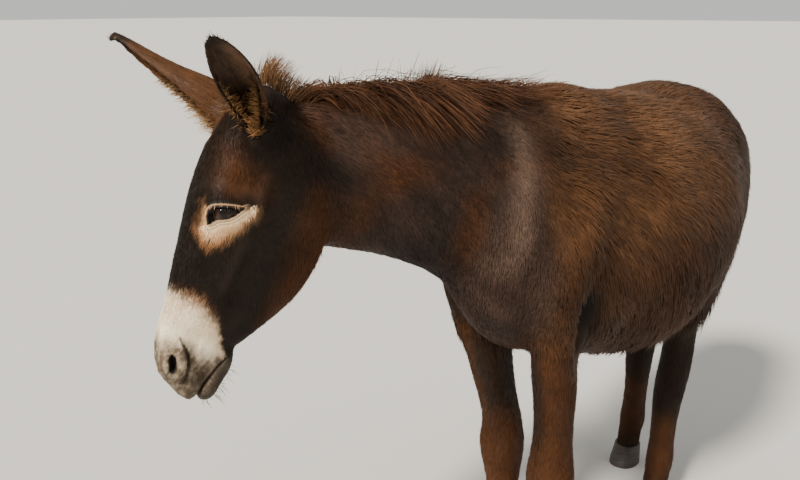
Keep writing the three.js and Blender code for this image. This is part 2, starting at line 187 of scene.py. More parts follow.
class Chain:
    """A tube of superellipse sections through rows of centre, half width, reach over and under.
    The sections' width lies along `side`, and `over` reaches towards `top`. Its ends are rounded
    by as much as `cap`."""

    def __init__(
        self, rows, side=LEFT, top=UP, power=2.1, taper=0.0, blend=0.03, depth=0.0, step=0.02, cap=1.0
    ):
        self.rows, self.cap = smooth_rows(rows, step), cap
        self.side, self.top = unit(side), unit(top)
        self.power, self.taper, self.blend, self.depth = power, taper, blend, depth
        reach = self.rows[:, 3:].max(1)[:, None]
        self.low = (self.rows[:, :3] - reach).min(0)
        self.high = (self.rows[:, :3] + reach).max(0)

    def frame_of(self, i):
        """The i-th piece's axis, its length and the directions of its width and height."""
        axis = self.rows[i + 1, :3] - self.rows[i, :3]
        length = np.linalg.norm(axis)
        axis = axis / length
        across = unit(self.side - axis * (self.side @ axis))
        rise = np.cross(across, axis)
        if rise @ self.top < 0:
            rise = -rise
        return axis, length, across, rise

    def distance(self, points):
        best = np.full(len(points), 9.0, np.float32)
        for i in range(len(self.rows) - 1):
            axis, length, across, rise = self.frame_of(i)
            local = (points - self.rows[i, :3]).astype(np.float32)
            local = local @ np.stack([axis, across, rise], 1).astype(np.float32)
            t = np.clip(local[:, 0] / length, 0, 1)
            past = local[:, 0] - t * length
            start, change = self.rows[i, 3:], self.rows[i + 1, 3:] - self.rows[i, 3:]
            half, over, under = (np.float32(start[j]) + t * np.float32(change[j]) for j in range(3))
            tall = np.where(local[:, 2] > 0, over, under)
            if self.taper:
                half = half * (1 - self.taper * np.clip(-local[:, 2] / under, 0, 1))
            small = np.minimum(np.minimum(half, tall), self.cap)
            e = np.float32(self.power)
            section = (np.abs(local[:, 1] / half) ** e + np.abs(local[:, 2] / tall) ** e) ** (1 / e)
            ratio = np.maximum(np.sqrt(section**2 + (past / small) ** 2), 1e-3)
            radius = np.sqrt(local[:, 1] ** 2 + local[:, 2] ** 2 + past**2)
            np.minimum(best, np.where(ratio > 2e-3, radius - radius / ratio, -small), out=best)
        return best


class Ball:
    """An ellipsoid with its radii along the rows of `axes`."""

    def __init__(self, centre, radii, axes=HEAD, blend=0.012, depth=0.0):
        self.centre, self.radii, self.axes = np.array(centre), np.array(radii, float), axes
        self.blend, self.depth = blend, depth
        self.low, self.high = self.centre - max(radii), self.centre + max(radii)

    def distance(self, points):
        local = (points - self.centre) @ self.axes.T
        near = np.sqrt(((local / self.radii) ** 2).sum(1))
        far = np.sqrt(((local / self.radii**2) ** 2).sum(1))
        return near * (near - 1) / np.maximum(far, 1e-4)


def distance_to(forms, points, reach=0.06):
    """The distance from the forms joined softly, for points near them."""
    best = np.full(len(points), 9.0)
    for form in forms:
        near = np.nonzero(np.all((points > form.low - reach) & (points < form.high + reach), 1))[0]
        if len(near):
            depth = form.depth(points[near]) if callable(form.depth) else form.depth
            best[near] = soft_min(best[near], form.distance(points[near]) + depth, form.blend)
    return best


def settle(forms, points, rounds=2, step=0.0006):
    """Moves the points onto the surface of the joined forms."""
    for _ in range(rounds):
        away = distance_to(forms, points)
        slope = np.empty((len(points), 3))
        for axis in range(3):
            move = np.zeros(3)
            move[axis] = step
            slope[:, axis] = (distance_to(forms, points + move) - away) / step
        move = (away / np.maximum((slope**2).sum(1), 0.25))[:, None] * slope
        size = np.linalg.norm(move, axis=1, keepdims=True)
        points = points - move * np.minimum(1, 0.008 / np.maximum(size, 1e-9))
    return points


# The body's forms ---------------------------------------------------------------------------


def placed(rows):
    """Table rows with their places moved into the frame."""
    return [(*at(*row[:3]), *row[3:]) for row in rows]


def belly_depth(points):
    """The coat is deeper low on the flanks and under the belly."""
    body = in_body(points)
    low = 1 - smooth_step(0.62, 0.88, body[:, 2])
    between = smooth_step(-0.52, -0.30, body[:, 0]) * (1 - smooth_step(0.10, 0.30, body[:, 0]))
    return TRUNK_DEPTH + 0.014 * low * between


def trunk_form():
    rows = [
        (0.500, 0, 0.900, 0.055, 0.080, 0.075),
        (0.470, 0, 0.903, 0.100, 0.150, 0.140),
        (0.400, 0, 0.915, 0.140, 0.250, 0.225),
        (0.300, 0, 0.918, 0.172, WITHERS - 0.918, 0.250),
        (0.180, 0, 0.900, 0.210, 0.336, 0.274),
        (0.050, 0, 0.878, 0.252, 0.349, 0.303),
        (-0.090, 0, 0.870, 0.280, 0.343, 0.322),
        (-0.210, 0, 0.893, 0.276, 0.316, 0.322),
        (-0.310, 0, 0.945, 0.248, 0.279, 0.312),
        (-0.400, 0, 0.975, 0.224, 0.232, 0.270),
        (-0.490, 0, 0.975, 0.200, 0.174, 0.215),
        (-0.570, 0, 0.955, 0.146, 0.105, 0.140),
        (-0.615, 0, 0.945, 0.075, 0.070, 0.075),
    ]
    return Chain(placed(rows), power=2.2, blend=0.04, depth=belly_depth, step=0.03)


def croup_form():
    """The point of the croup, a rounded ridge between the hips."""
    return Ball(at(-0.385, 0, 1.155), (0.105, 0.100, 0.054), axes=np.eye(3), blend=0.03, depth=TRUNK_DEPTH)


def shoulder_form(side):
    rows = [
        (0.255, side * 0.040, 1.150, 0.040, 0.060, 0.070),
        (0.290, side * 0.088, 1.060, 0.058, 0.088, 0.088),
        (0.345, side * 0.112, 0.960, 0.062, 0.092, 0.092),
        (0.385, side * 0.112, 0.870, 0.058, 0.088, 0.092),
        (0.360, side * 0.108, 0.790, 0.056, 0.088, 0.092),
        (0.335, side * 0.104, 0.700, 0.050, 0.070, 0.076),
    ]
    return Chain(placed(rows), top=FORWARD, power=2, blend=0.035, depth=NECK_DEPTH, step=0.04)


def thigh_form(side, step):
    rows = [
        (-0.385, side * 0.100, 1.120, 0.060, 0.070, 0.100),
        (-0.395, side * 0.128, 1.030, 0.082, 0.115, 0.150),
        (-0.390, side * 0.140, 0.920, 0.088, 0.142, 0.195),
        (-0.375 + 0.25 * step, side * 0.140, 0.810, 0.086, 0.142, 0.182),
        (-0.374 + 0.6 * step, side * 0.130, 0.710, 0.080, 0.112, 0.140),
        (-0.397 + 0.8 * step, side * 0.116, 0.630, 0.062, 0.080, 0.094),
    ]
    return Chain(placed(rows), top=FORWARD, blend=0.035, depth=TRUNK_DEPTH, step=0.04)


def neck_form():
    rows = [
        (0.260, 0, 0.975, 0.135, 0.255, 0.255),
        (0.400, -0.016, 1.015, 0.120, 0.229, 0.222),
        (0.520, -0.058, 1.055, 0.103, 0.187, 0.182),
        (0.640, -0.108, 1.088, 0.090, 0.160, 0.158),
        (0.750, -0.158, 1.115, 0.082, 0.146, 0.152),
        (0.850, -0.204, 1.135, 0.074, 0.118, 0.145),
        (0.900, -0.225, 1.140, 0.066, 0.092, 0.120),
    ]
    turned = way(math.sin(math.radians(22)), math.cos(math.radians(22)), 0)
    return Chain(placed(rows), side=turned, blend=0.03, depth=NECK_DEPTH, step=0.03)


# Rows of place along the nose, top line, bottom line and half width.
HEAD_ROWS = [
    (-0.025, -0.048, -0.110, 0.044),
    (0.010, -0.018, -0.150, 0.064),
    (0.055, 0.000, -0.192, 0.080),
    (0.105, 0.009, -0.222, 0.091),
    (0.160, 0.010, -0.242, 0.096),
    (0.215, 0.006, -0.250, 0.092),
    (0.265, 0.002, -0.240, 0.081),
    (0.315, -0.002, -0.216, 0.069),
    (0.365, -0.008, -0.184, 0.060),
    (0.410, -0.0105, -0.156, 0.055),
    (0.448, -0.0150, -0.141, 0.057),
    (HEAD_LENGTH - 0.052, -0.0290, -0.132, 0.056),
    (HEAD_LENGTH - 0.032, -0.0540, -0.126, 0.051),
    (HEAD_LENGTH - 0.015, -0.0760, -0.121, 0.041),
    (HEAD_LENGTH - 0.004, -0.0950, -0.114, 0.026),
]


def head_form():
    widest = 0.34  # of the depth, down from the top line
    rows = []
    for along, over, under, half in HEAD_ROWS:
        deep = over - under
        centre = head_at(along, over - widest * deep, 0)
        rows.append((*centre, half, widest * deep, (1 - widest) * deep))
    form = {"side": HEAD[2], "top": HEAD[1], "power": 2.35, "taper": 0.3}
    return Chain(rows, **form, blend=0.035, depth=HEAD_DEPTH, step=0.02, cap=0.010)


def face_forms():
    """The chin, both lips, the wings of the nostrils, the brows and the closed lids."""
    balls = [
        ((0.455, -0.135, 0), (0.046, 0.028, 0.032)),
        ((0.497, -0.129, 0), (0.036, 0.025, 0.034)),
        ((0.501, -0.098, 0), (0.032, 0.032, 0.042)),
    ]
    for side in SIDES.values():
        balls.append(((0.463, -0.056, side * 0.040), (0.034, 0.028, 0.020)))
        balls.append(((0.176, -0.040, side * 0.066), (0.042, 0.024, 0.027)))
    forms = [Ball(head_at(*centre), radii, depth=HEAD_DEPTH) for centre, radii in balls]
    lids = EYE_RADIUS + LID_THICKNESS
    return forms + [Ball(eye_place(side), (lids, lids, lids), blend=0.02) for side in SIDES.values()]


def fore_leg_form(side, stance, back):
    forward, left = stance
    rows = [
        (0.345, side * 0.098, 0.740, 0.052, 0.078, 0.066),
        (forward + 0.3 * back + 0.008, side * 0.092, 0.660, 0.053, 0.068, 0.060),
        (forward + 0.5 * back + 0.003, side * 0.090, 0.580, 0.049, 0.056, 0.052),
        (forward + 0.75 * back, side * 0.088, 0.500, 0.046, 0.050, 0.050),
        (forward + 0.95 * back, side * 0.087, 0.440, 0.050, 0.052, 0.051),
        (forward + back + 0.002, side * 0.087, KNEE, 0.058, 0.057, 0.053),
        (forward + back - 0.002, side * 0.087, 0.330, 0.050, 0.049, 0.049),
        (forward + back - 0.004, side * left, 0.255, 0.040, 0.040, 0.044),
        (forward + back - 0.002, side * left, 0.180, 0.038, 0.038, 0.045),
        (forward + back + 0.002, side * left, 0.135, 0.041, 0.041, 0.048),
        (forward + back + 0.014, side * left, 0.095, 0.038, 0.038, 0.040),
        (forward + back + 0.024, side * left, HOOF_TOP - 0.012, 0.040, 0.044, 0.040),
    ]
    return Chain(placed(rows), top=FORWARD, blend=0.02, depth=LEG_DEPTH)


def hind_leg_form(side, stance, step):
    back, left = stance
    rows = [
        (-0.372 + 0.6 * step, side * 0.122, 0.710, 0.060, 0.096, 0.118),
        (-0.402 + 0.85 * step, side * 0.113, 0.620, 0.058, 0.074, 0.084),
        (back - 0.012, side * 0.101, 0.540, 0.047, 0.055, 0.057),
        (back - 0.028, side * 0.094, 0.465, 0.046, 0.052, 0.053),
        (back - 0.018, side * 0.091, 0.405, 0.047, 0.056, 0.048),
        (back + 0.004, side * 0.089, 0.340, 0.045, 0.053, 0.043),
        (back + 0.018, side * left, 0.260, 0.039, 0.046, 0.039),
        (back + 0.028, side * left, 0.185, 0.038, 0.045, 0.043),
        (back + 0.034, side * left, 0.135, 0.041, 0.044, 0.047),
        (back + 0.048, side * left, 0.095, 0.037, 0.038, 0.038),
        (back + 0.058, side * left, HOOF_TOP - 0.012, 0.038, 0.042, 0.038),
    ]
    return Chain(placed(rows), top=FORWARD, blend=0.02, depth=LEG_DEPTH)


# The ear as a leaf: place from root to tip, half width and half thickness.
EAR_LEAF = [
    (-0.08, 0.027, 0.025),
    (0.06, 0.032, 0.029),
    (0.22, 0.040, 0.028),
    (0.40, 0.046, 0.023),
    (0.58, 0.044, 0.018),
    (0.74, 0.037, 0.014),
    (0.87, 0.028, 0.011),
    (0.96, 0.0185, 0.0085),
    (1.00, 0.0105, 0.0075),
]
EAR_WAYS = {
    "left": ((-0.368, 0.486, 0.792), (0.79, -0.287, 0.543)),
    "right": ((-0.23, 0.97, -0.07), (0.96, 0.24, 0.13)),
}
EAR_BEND = {"left": (-0.004, -0.021), "right": (0.007, 0.012)}  # across it and out of its hollow
EAR_SPREAD = {"left": 0.80, "right": 1.05}  # how far the leaf is opened out
EAR_CUP = {"left": 1.0, "right": 1.85}  # and how deep it is folded, above its root


def ear_axes(name):
    """The ear's root, and the directions along it, across it and out of its hollow."""
    along, hollow = (head_way(*v) for v in EAR_WAYS[name])
    along = unit(along)
    facing = unit(hollow - along * (hollow @ along))
    return head_at(0.040, -0.070, SIDES[name] * 0.052), along, np.cross(along, facing), facing


def ear_middle(name, t):
    """The bent middle line of an ear, t of the way from its root to its tip."""
    root, along, across, facing = ear_axes(name)
    bend = np.sin(math.pi * np.clip(t, 0, 1))[:, None]
    aside, out = EAR_BEND[name]
    return root + along * (t * EAR_LENGTH)[:, None] + bend * (across * aside + facing * out)


def ear_leaf(name):
    """The rows of the leaf, opened out and folded as one ear is."""
    place, half, thick = np.array(EAR_LEAF).T
    fold = 1 + (EAR_CUP[name] - 1) * np.clip(place / 0.3, 0, 1)
    return np.stack([place, half * EAR_SPREAD[name], thick * fold], 1)


def ear_section(name, t):
    """Half the ear's width and its thickness at shares of the way along it, inside the coat."""
    place, half, thick = ear_leaf(name).T
    return np.interp(t, place, half) - EAR_DEPTH, np.interp(t, place, thick) - EAR_DEPTH


def ear_form(name):
    _, _, across, facing = ear_axes(name)
    leaf = ear_leaf(name)
    rows = np.concatenate([ear_middle(name, leaf[:, 0]), leaf[:, 1:], leaf[:, 2:]], 1)
    return Chain(rows, side=across, top=facing, power=2, blend=0.022, depth=EAR_DEPTH, step=0.02)


DOCK_ROWS = [
    (-0.560, 0, 1.075, 0.026, 0.026, 0.026),
    (-0.612, 0.002, 1.050, 0.028, 0.027, 0.027),
    (-0.652, 0.006, 0.990, 0.025, 0.024, 0.024),
    (-0.668, 0.010, 0.900, 0.022, 0.021, 0.021),
    (-0.672, 0.012, 0.800, 0.021, 0.020, 0.020),
    (-0.668, 0.012, 0.700, 0.022, 0.021, 0.021),
    (-0.664, 0.012, 0.655, 0.024, 0.022, 0.022),
]


def dock_form():
    """The fleshy part of the tail."""
    return Chain(placed(DOCK_ROWS), top=FORWARD, power=2, blend=0.015, depth=0.006)


def donkey_forms():
    forms = [trunk_form(), croup_form(), neck_form(), head_form(), *face_forms(), dock_form()]
    for name, side in SIDES.items():
        forms.append(shoulder_form(side))
        forms.append(thigh_form(side, HIND_STEP[name]))
        forms.append(fore_leg_form(side, FORE[name], FORE_BACK[name]))
        forms.append(hind_leg_form(side, HIND[name], HIND_STEP[name]))
        forms.append(ear_form(name))
    return forms


# The skin -----------------------------------------------------------------------------------

BLOCK = 4  # grid cells along one side of a block


def grid_lines(low, high, fine_low, fine_high):
    """Grid places from low to high, close together between the two fine ones."""
    before = np.arange(low, fine_low, WIDE_CELL)
    fine = np.arange(before[-1] + WIDE_CELL, fine_high, FINE_CELL)
    after = np.arange(fine[-1] + WIDE_CELL, high + BLOCK * WIDE_CELL, WIDE_CELL)
    lines = np.concatenate([before, fine, after])
    return lines[: (len(lines) - 1) // BLOCK * BLOCK + 1]


def grid_places(lines, index):
    return np.stack([lines[axis][index[:, axis]] for axis in range(3)], 1)


def cells_near(forms, lines):
    """Grid corners in the blocks that the surface may pass through, and a first guess of all."""
    walls = [line[::BLOCK] for line in lines]
    middles = [(wall[1:] + wall[:-1]) / 2 for wall in walls]
    sides = np.meshgrid(*[np.diff(wall) for wall in walls], indexing="ij")
    reach = 0.62 * np.sqrt(sum(side**2 for side in sides))
    places = np.stack(np.meshgrid(*middles, indexing="ij"), -1).reshape(-1, 3)
    rough = distance_to(forms, places, reach.max() * 1.5).reshape(reach.shape)
    near = np.argwhere(np.abs(rough) < reach) * BLOCK
    values = rough
    for axis in range(3):
        values = np.repeat(values, BLOCK, axis)
    values = np.pad(values, [(0, 1)] * 3, mode="edge").astype(np.float32)
    mask = np.zeros(values.shape, bool)
    for i, j, k in near:
        mask[i : i + BLOCK + 1, j : j + BLOCK + 1, k : k + BLOCK + 1] = True
    return values, mask


def net_corners(values, cells, lines):
    """One point in each cell: the middle of where its edges cross the surface."""
    total, crossings = np.zeros((len(cells), 3)), np.zeros(len(cells))
    for corner in np.ndindex(2, 2, 2):
        for axis in range(3):
            if corner[axis]:
                continue
            other = np.array(corner)
            other[axis] = 1
            first = values[tuple((cells + corner).T)].astype(float)
            second = values[tuple((cells + other).T)].astype(float)
            crosses = (first < 0) != (second < 0)
            place = np.repeat(np.array(corner, float)[None], len(cells), 0)
            place[:, axis] = first / np.where(crosses, first - second, 1)
            total[crosses] += place[crosses]
            crossings[crosses] += 1
    share = total / crossings[:, None]
    low, high = grid_places(lines, cells), grid_places(lines, cells + 1)
    return low + share * (high - low)


def net_faces(inside, number):
    """A quad round each grid edge that crosses the surface, facing out."""
    size = np.array(inside.shape) - 1
    faces = []
    for axis in range(3):
        first = [slice(1, n) for n in size]
        first[axis] = slice(0, size[axis])
        second = list(first)
        second[axis] = slice(1, size[axis] + 1)
        starts_in, ends_in = inside[tuple(first)], inside[tuple(second)]
        crosses = starts_in != ends_in
        step = np.eye(3, dtype=int)
        base = np.argwhere(crosses) + 1 - step[axis]
        u, w = (step[n] for n in range(3) if n != axis)
        quad = np.stack([number[tuple((base - d).T)] for d in (u + w, w, 0 * u, u)], 1)
        turned = starts_in[crosses] if axis != 1 else ~starts_in[crosses]
        quad[~turned] = quad[~turned][:, ::-1]
        faces.append(quad)
    return np.concatenate(faces)


def net_of(forms, lines):
    """A closed quad mesh of the joined forms' surface."""
    values, mask = cells_near(forms, lines)
    values[mask] = distance_to(forms, grid_places(lines, np.argwhere(mask)))
    inside = values < 0
    size = np.array(values.shape) - 1
    corners = [
        inside[i : i + size[0], j : j + size[1], k : k + size[2]] for i, j, k in np.ndindex(2, 2, 2)
    ]
    crossed = np.logical_or.reduce(corners) & ~np.logical_and.reduce(corners)
    cells = np.argwhere(crossed)
    number = np.full(size, -1)
    number[crossed] = np.arange(len(cells))
    return net_corners(values, cells, lines), net_faces(inside, number)


def mesh_from(name, points, faces):
    mesh = bpy.data.meshes.new(name)
    mesh.from_pydata(points.tolist(), [], [f.tolist() for f in faces] if len(faces) else [])
    return mesh


def faces_of(mesh):
    """Every face as four corners, a triangle's last one repeated."""
    total = np.empty(len(mesh.polygons), int)
    mesh.polygons.foreach_get("loop_total", total)
    start = np.empty(len(mesh.polygons), int)
    mesh.polygons.foreach_get("loop_start", start)
    loops = np.empty(len(mesh.loops), int)
    mesh.loops.foreach_get("vertex_index", loops)
    return loops[start[:, None] + np.minimum(np.arange(4), total[:, None] - 1)]


def points_of(mesh):
    points = np.empty(len(mesh.vertices) * 3, np.float32)
    mesh.vertices.foreach_get("co", points)
    return points.reshape(-1, 3).astype(float)


def split_faces(mesh, chosen):
    """Cuts each chosen face in four. Its neighbours stay joined to it."""
    shape = bmesh.new()
    shape.from_mesh(mesh)
    shape.faces.ensure_lookup_table()
    edges = {e for i in np.nonzero(chosen)[0] for e in shape.faces[i].edges}
    bmesh.ops.subdivide_edges(shape, edges=list(edges), cuts=1, use_grid_fill=True)
    rough = [face for face in shape.faces if len(face.verts) > 4]
    bmesh.ops.triangulate(shape, faces=rough)
    shape.to_mesh(mesh)
    shape.free()


def mirrored(points, side):
    """In the head's own measures, with the chosen side turned to the left."""
    head = in_head(points)
    head[:, 2] *= side
    return head


def normals_of(points, faces):
    ways = np.cross(points[faces[:, 2]] - points[faces[:, 0]], points[faces[:, 3]] - points[faces[:, 1]])
    made = np.zeros_like(points)
    for corner in range(4):
        np.add.at(made, faces[:, corner], ways)
    return unit(made)


# The face's features, in the head's measures for its left side ------------------------------

LID_MIDDLE = (0.190, -0.060)
LID_TURN = math.radians(-41.8)  # the eye's long axis, from level across the face
UPPER_LID = [
    (-0.0351, 0.0000),
    (-0.0304, -0.0108),
    (-0.0256, -0.0197),
    (-0.0186, -0.0235),
    (-0.0102, -0.0220),
    (0.0041, -0.0154),
    (0.0153, -0.0086),
    (0.0249, -0.0024),
    (0.0353, 0.0000),
]
LOWER_LID = [
    (0.0353, 0.0000),
    (0.0241, 0.0012),
    (0.0176, 0.0022),
    (0.0084, 0.0038),
    (-0.0008, 0.0038),
    (-0.0108, 0.0012),
    (-0.0185, -0.0006),
    (-0.0244, 0.0006),
    (-0.0328, 0.0020),
    (-0.0351, 0.0000),
]

# Outlines and lines on the side of the head, as places along the nose and up from the face.
NOSTRIL = [
    (0.4475, -0.0475),
    (0.4500, -0.0535),
    (0.4590, -0.0590),
    (0.4705, -0.0625),
    (0.4805, -0.0615),
    (0.4805, -0.0555),
    (0.4690, -0.0490),
    (0.4570, -0.0450),
    (0.4475, -0.0475),
]
NOSTRIL_WING = [
    (0.428, -0.0500),
    (0.431, -0.0580),
    (0.440, -0.0640),
    (0.455, -0.0690),
    (0.471, -0.0708),
    (0.485, -0.0695),
    (0.493, -0.0660),
]
NOSTRIL_RIM = [(0.439, -0.043), (0.450, -0.0395), (0.464, -0.0400), (0.477, -0.0450), (0.488, -0.0530)]
NOSTRIL_FOLD = [
    (0.4180, -0.0520),
    (0.4254, -0.0590),
    (0.4330, -0.0665),
    (0.4410, -0.0731),
    (0.4542, -0.0797),
    (0.4704, -0.0840),
    (0.4827, -0.0848),
    (0.4930, -0.0821),
    (0.4973, -0.0764),
]
LIP_FOLD = [(0.405, -0.087), (0.425, -0.091), (0.442, -0.095), (0.466, -0.104), (0.482, -0.112)]
MOUTH_LINE = [
    (0.4330, -0.1490),
    (0.4373, -0.1454),
    (0.4548, -0.1345),
    (0.4757, -0.1266),
    (0.4929, -0.1202),
    (0.5071, -0.1178),
    (0.5300, -0.1165),
    (0.5600, -0.1160),
]
FACE_CREST = [(0.205, -0.104), (0.230, -0.1015), (0.255, -0.1000), (0.306, -0.0975), (0.350, -0.0900)]
CHEEK_ARCH = [(0.170, -0.099), (0.145, -0.104), (0.120, -0.102), (0.095, -0.092)]
EYE_RIM = [
    (0.212, -0.016),
    (0.190, -0.008),
    (0.166, -0.012),
    (0.150, -0.033),
    (0.144, -0.062),
    (0.150, -0.088),
]
NOSE_EDGE = [(0.240, -0.022), (0.280, -0.024), (0.320, -0.028), (0.370, -0.032), (0.410, -0.034)]
CHEEK_VEIN = [(0.250, -0.130), (0.285, -0.118), (0.320, -0.108), (0.350, -0.100), (0.380, -0.098)]


def along_route(flat, route):
    """How far each point is from a bent line, and where along it the nearest place is."""
    route = smooth_rows(route, 0.004)
    legs = np.linalg.norm(np.diff(route, axis=0), axis=1)
    ends = np.concatenate([[0], np.cumsum(legs)]) / legs.sum()
    best, place = np.full(len(flat), 9.0), np.zeros(len(flat))
    for i, leg in enumerate(legs):
        line = route[i + 1] - route[i]
        t = np.clip((flat - route[i]) @ line / leg**2, 0, 1)
        away = np.linalg.norm(flat - route[i] - t[:, None] * line, axis=1)
        nearer = away < best
        best[nearer] = away[nearer]
        place[nearer] = ends[i] + t[nearer] * (ends[i + 1] - ends[i])
    return best, place


def inside_by(flat, outline):
    """How far inside a closed outline each point is, or how far outside as a negative."""
    outline = smooth_rows(outline, 0.002)
    within = np.zeros(len(flat), bool)
    for (x0, y0), (x1, y1) in zip(outline[:-1], outline[1:]):
        if y0 != y1:
            crosses = (y0 > flat[:, 1]) != (y1 > flat[:, 1])
            within ^= crosses & (flat[:, 0] < x0 + (flat[:, 1] - y0) * (x1 - x0) / (y1 - y0))
    away = along_route(flat, outline)[0]
    return np.where(within, away, -away)


def hump(distance, width):
    return np.exp(-((distance / width) ** 2))


def ridge(head, route, height, width, fade=0.2):
    """A raised line on the side of the head that dies away at both ends."""
    away, place = along_route(head[:, :2], route)
    ends = smooth_step(0, fade, place) * (1 - smooth_step(1 - fade, 1, place))
    return height * hump(away, width) * ends


def mound(head, centre, widths, height):
    away = (head[:, :2] - np.array(centre)) / np.array(widths)
    return height * np.exp(-(away**2).sum(1))


def lid_places(head):
    """Places along the eye's long axis, backwards, and across it, downwards."""
    back, down = LID_MIDDLE[1] - head[:, 1], head[:, 0] - LID_MIDDLE[0]
    turn = np.array([math.cos(LID_TURN), math.sin(LID_TURN)])
    return np.stack([turn[0] * back + turn[1] * down, -turn[1] * back + turn[0] * down], 1)


def eye_opening(head):
    """How far inside the eye's opening each point is, and whether it is above the middle."""
    flat = lid_places(head)
    middle = np.interp(flat[:, 0], [-0.035, 0.0, 0.035], [0.0, -0.006, 0.0])
    return inside_by(flat, UPPER_LID + LOWER_LID[1:]), flat[:, 1] < middle


def side_relief(head):
    """How far the bones, folds and veins of one side of the head stand out."""
    out = ridge(head, FACE_CREST, 0.0050, 0.0095, 0.3)
    out += ridge(head, CHEEK_ARCH, 0.0040, 0.0100, 0.3)
    out += ridge(head, EYE_RIM, 0.0018, 0.0120, 0.3)
    out += ridge(head, NOSE_EDGE, 0.0022, 0.0080, 0.3)
    out += ridge(head, CHEEK_VEIN, 0.0016, 0.0035, 0.3)
    out += mound(head, (0.200, -0.175), (0.062, 0.045), 0.0060)
    out -= mound(head, (0.131, -0.066), (0.016, 0.019), 0.0065)
    out -= mound(head, (0.285, -0.062), (0.050, 0.016), 0.0035)
    out -= mound(head, (0.345, -0.125), (0.035, 0.022), 0.0040)
    out += ridge(head, NOSTRIL_WING, 0.0068, 0.0062, 0.15)
    out += ridge(head, NOSTRIL_RIM, 0.0030, 0.0042, 0.2)
    out -= ridge(head, NOSTRIL_FOLD, 0.0078, 0.0032, 0.3)
    out += ridge(head, LIP_FOLD, 0.0020, 0.0045, 0.3)
    return out


def lid_relief(head):
    """Folds in the skin over and under the eye."""
    inside, above = eye_opening(head)
    out = np.where(above, -0.0011, -0.0009) * hump(inside + 0.0075, 0.0014)
    out += np.where(above, 0.0009, 0.0007) * hump(inside + 0.0045, 0.0018)
    out -= np.where(above, 0.0012, 0) * hump(inside + 0.0120, 0.0018)
    out += 0.0007 * hump(inside + 0.0012, 0.0010)
    return out


def sunk_eye(head):
    """Pushes what lies within the lids in behind the eyeball."""
    inside, _ = eye_opening(head)
    along, rise, out = EYE_PLACE
    off = (head[:, 0] - along) ** 2 + (head[:, 1] - rise) ** 2
    ball = out + np.sqrt(np.maximum(EYE_RADIUS**2 - off, 0))
    deep = np.where(off < (EYE_RADIUS - 0.001) ** 2, ball - 0.005, head[:, 2] - 0.006)
    deep = np.minimum(deep, head[:, 2] - 0.004)
    return (deep - head[:, 2]) * smooth_step(0, 0.0024, inside)


def hollow_elbows(points, normals):
    """The hollow on each side between the upper foreleg and the belly."""
    body = in_body(points)
    away = (body[:, [0, 2]] - np.array(ELBOW_HOLLOW)) / np.array([0.034, 0.078])
    deep = 0.055 * np.exp(-(away**2).sum(1)) * (np.abs(body[:, 1]) > 0.09)
    return points - deep[:, None] * normals


def sculpt_face(points, normals):
    """The head's fine relief, on both sides, with the lids and the nostrils sunk in."""
    points = points.copy()
    for side in SIDES.values():
        head = mirrored(points, side)
        here = np.nonzero((head[:, 2] > 0.004) & (head[:, 0] > 0.05) & (np.abs(head[:, 1] + 0.1) < 0.2))[0]
        head = head[here]
        flank = smooth_step(0.010, 0.030, head[:, 2])
        move = (side_relief(head) * flank)[:, None] * normals[here]
        near = np.nonzero(np.linalg.norm(head - np.array(EYE_PLACE), axis=1) < 0.065)[0]
        move[near] += lid_relief(head[near])[:, None] * normals[here[near]]
        move[near] += sunk_eye(head[near])[:, None] * HEAD[2] * side
        mouth = np.nonzero((head[:, 0] > 0.43) & (head[:, 0] < 0.50))[0]
        inside = inside_by(head[mouth, :2], NOSTRIL)
        hollow = smooth_step(-0.0006, 0.0045, inside) * smooth_step(0.02, 0.035, head[mouth, 2])
        move[mouth] += 0.016 * hollow[:, None] * unit(head_way(-0.45, -0.10, -0.88 * side))
        points[here] += move
    return points


def open_mouth(points, normals):
    """The slit between the lips, as a groove round the front of the muzzle."""
    points = points.copy()
    head = in_head(points)
    here = np.nonzero((head[:, 0] > 0.41) & (head[:, 1] < -0.06))[0]
    away, place = along_route(head[here, :2], MOUTH_LINE)
    deep = smooth_step(0.0, 0.16, place) * (1 - 0.35 * smooth_step(0.5, 0.8, place))
    groove = 0.0065 * hump(away, 0.0026) * deep
    points[here] -= groove[:, None] * normals[here]
    return points


def in_ear(points, name):
    """Share of the way along an ear, places across it and out of its hollow, and its sizes there."""
    root, along, across, facing = ear_axes(name)
    t = (points - root) @ along / EAR_LENGTH
    local = (points - ear_middle(name, t)) @ np.array([along, across, facing]).T
    half, thick = ear_section(name, t)
    inside = (t > 0.04) & (np.abs(local[:, 1]) < 1.3 * half) & (np.abs(local[:, 2]) < 1.4 * thick)
    return t, local[:, 1], local[:, 2], half, thick, inside


EAR_RIM = [(0.04, 80), (0.14, 62), (0.28, 40), (0.45, 22), (0.75, 14), (1.0, 12)]  # degrees


def ear_rim(t):
    place, angle = np.array(EAR_RIM).T
    return np.radians(np.interp(t, place, angle))


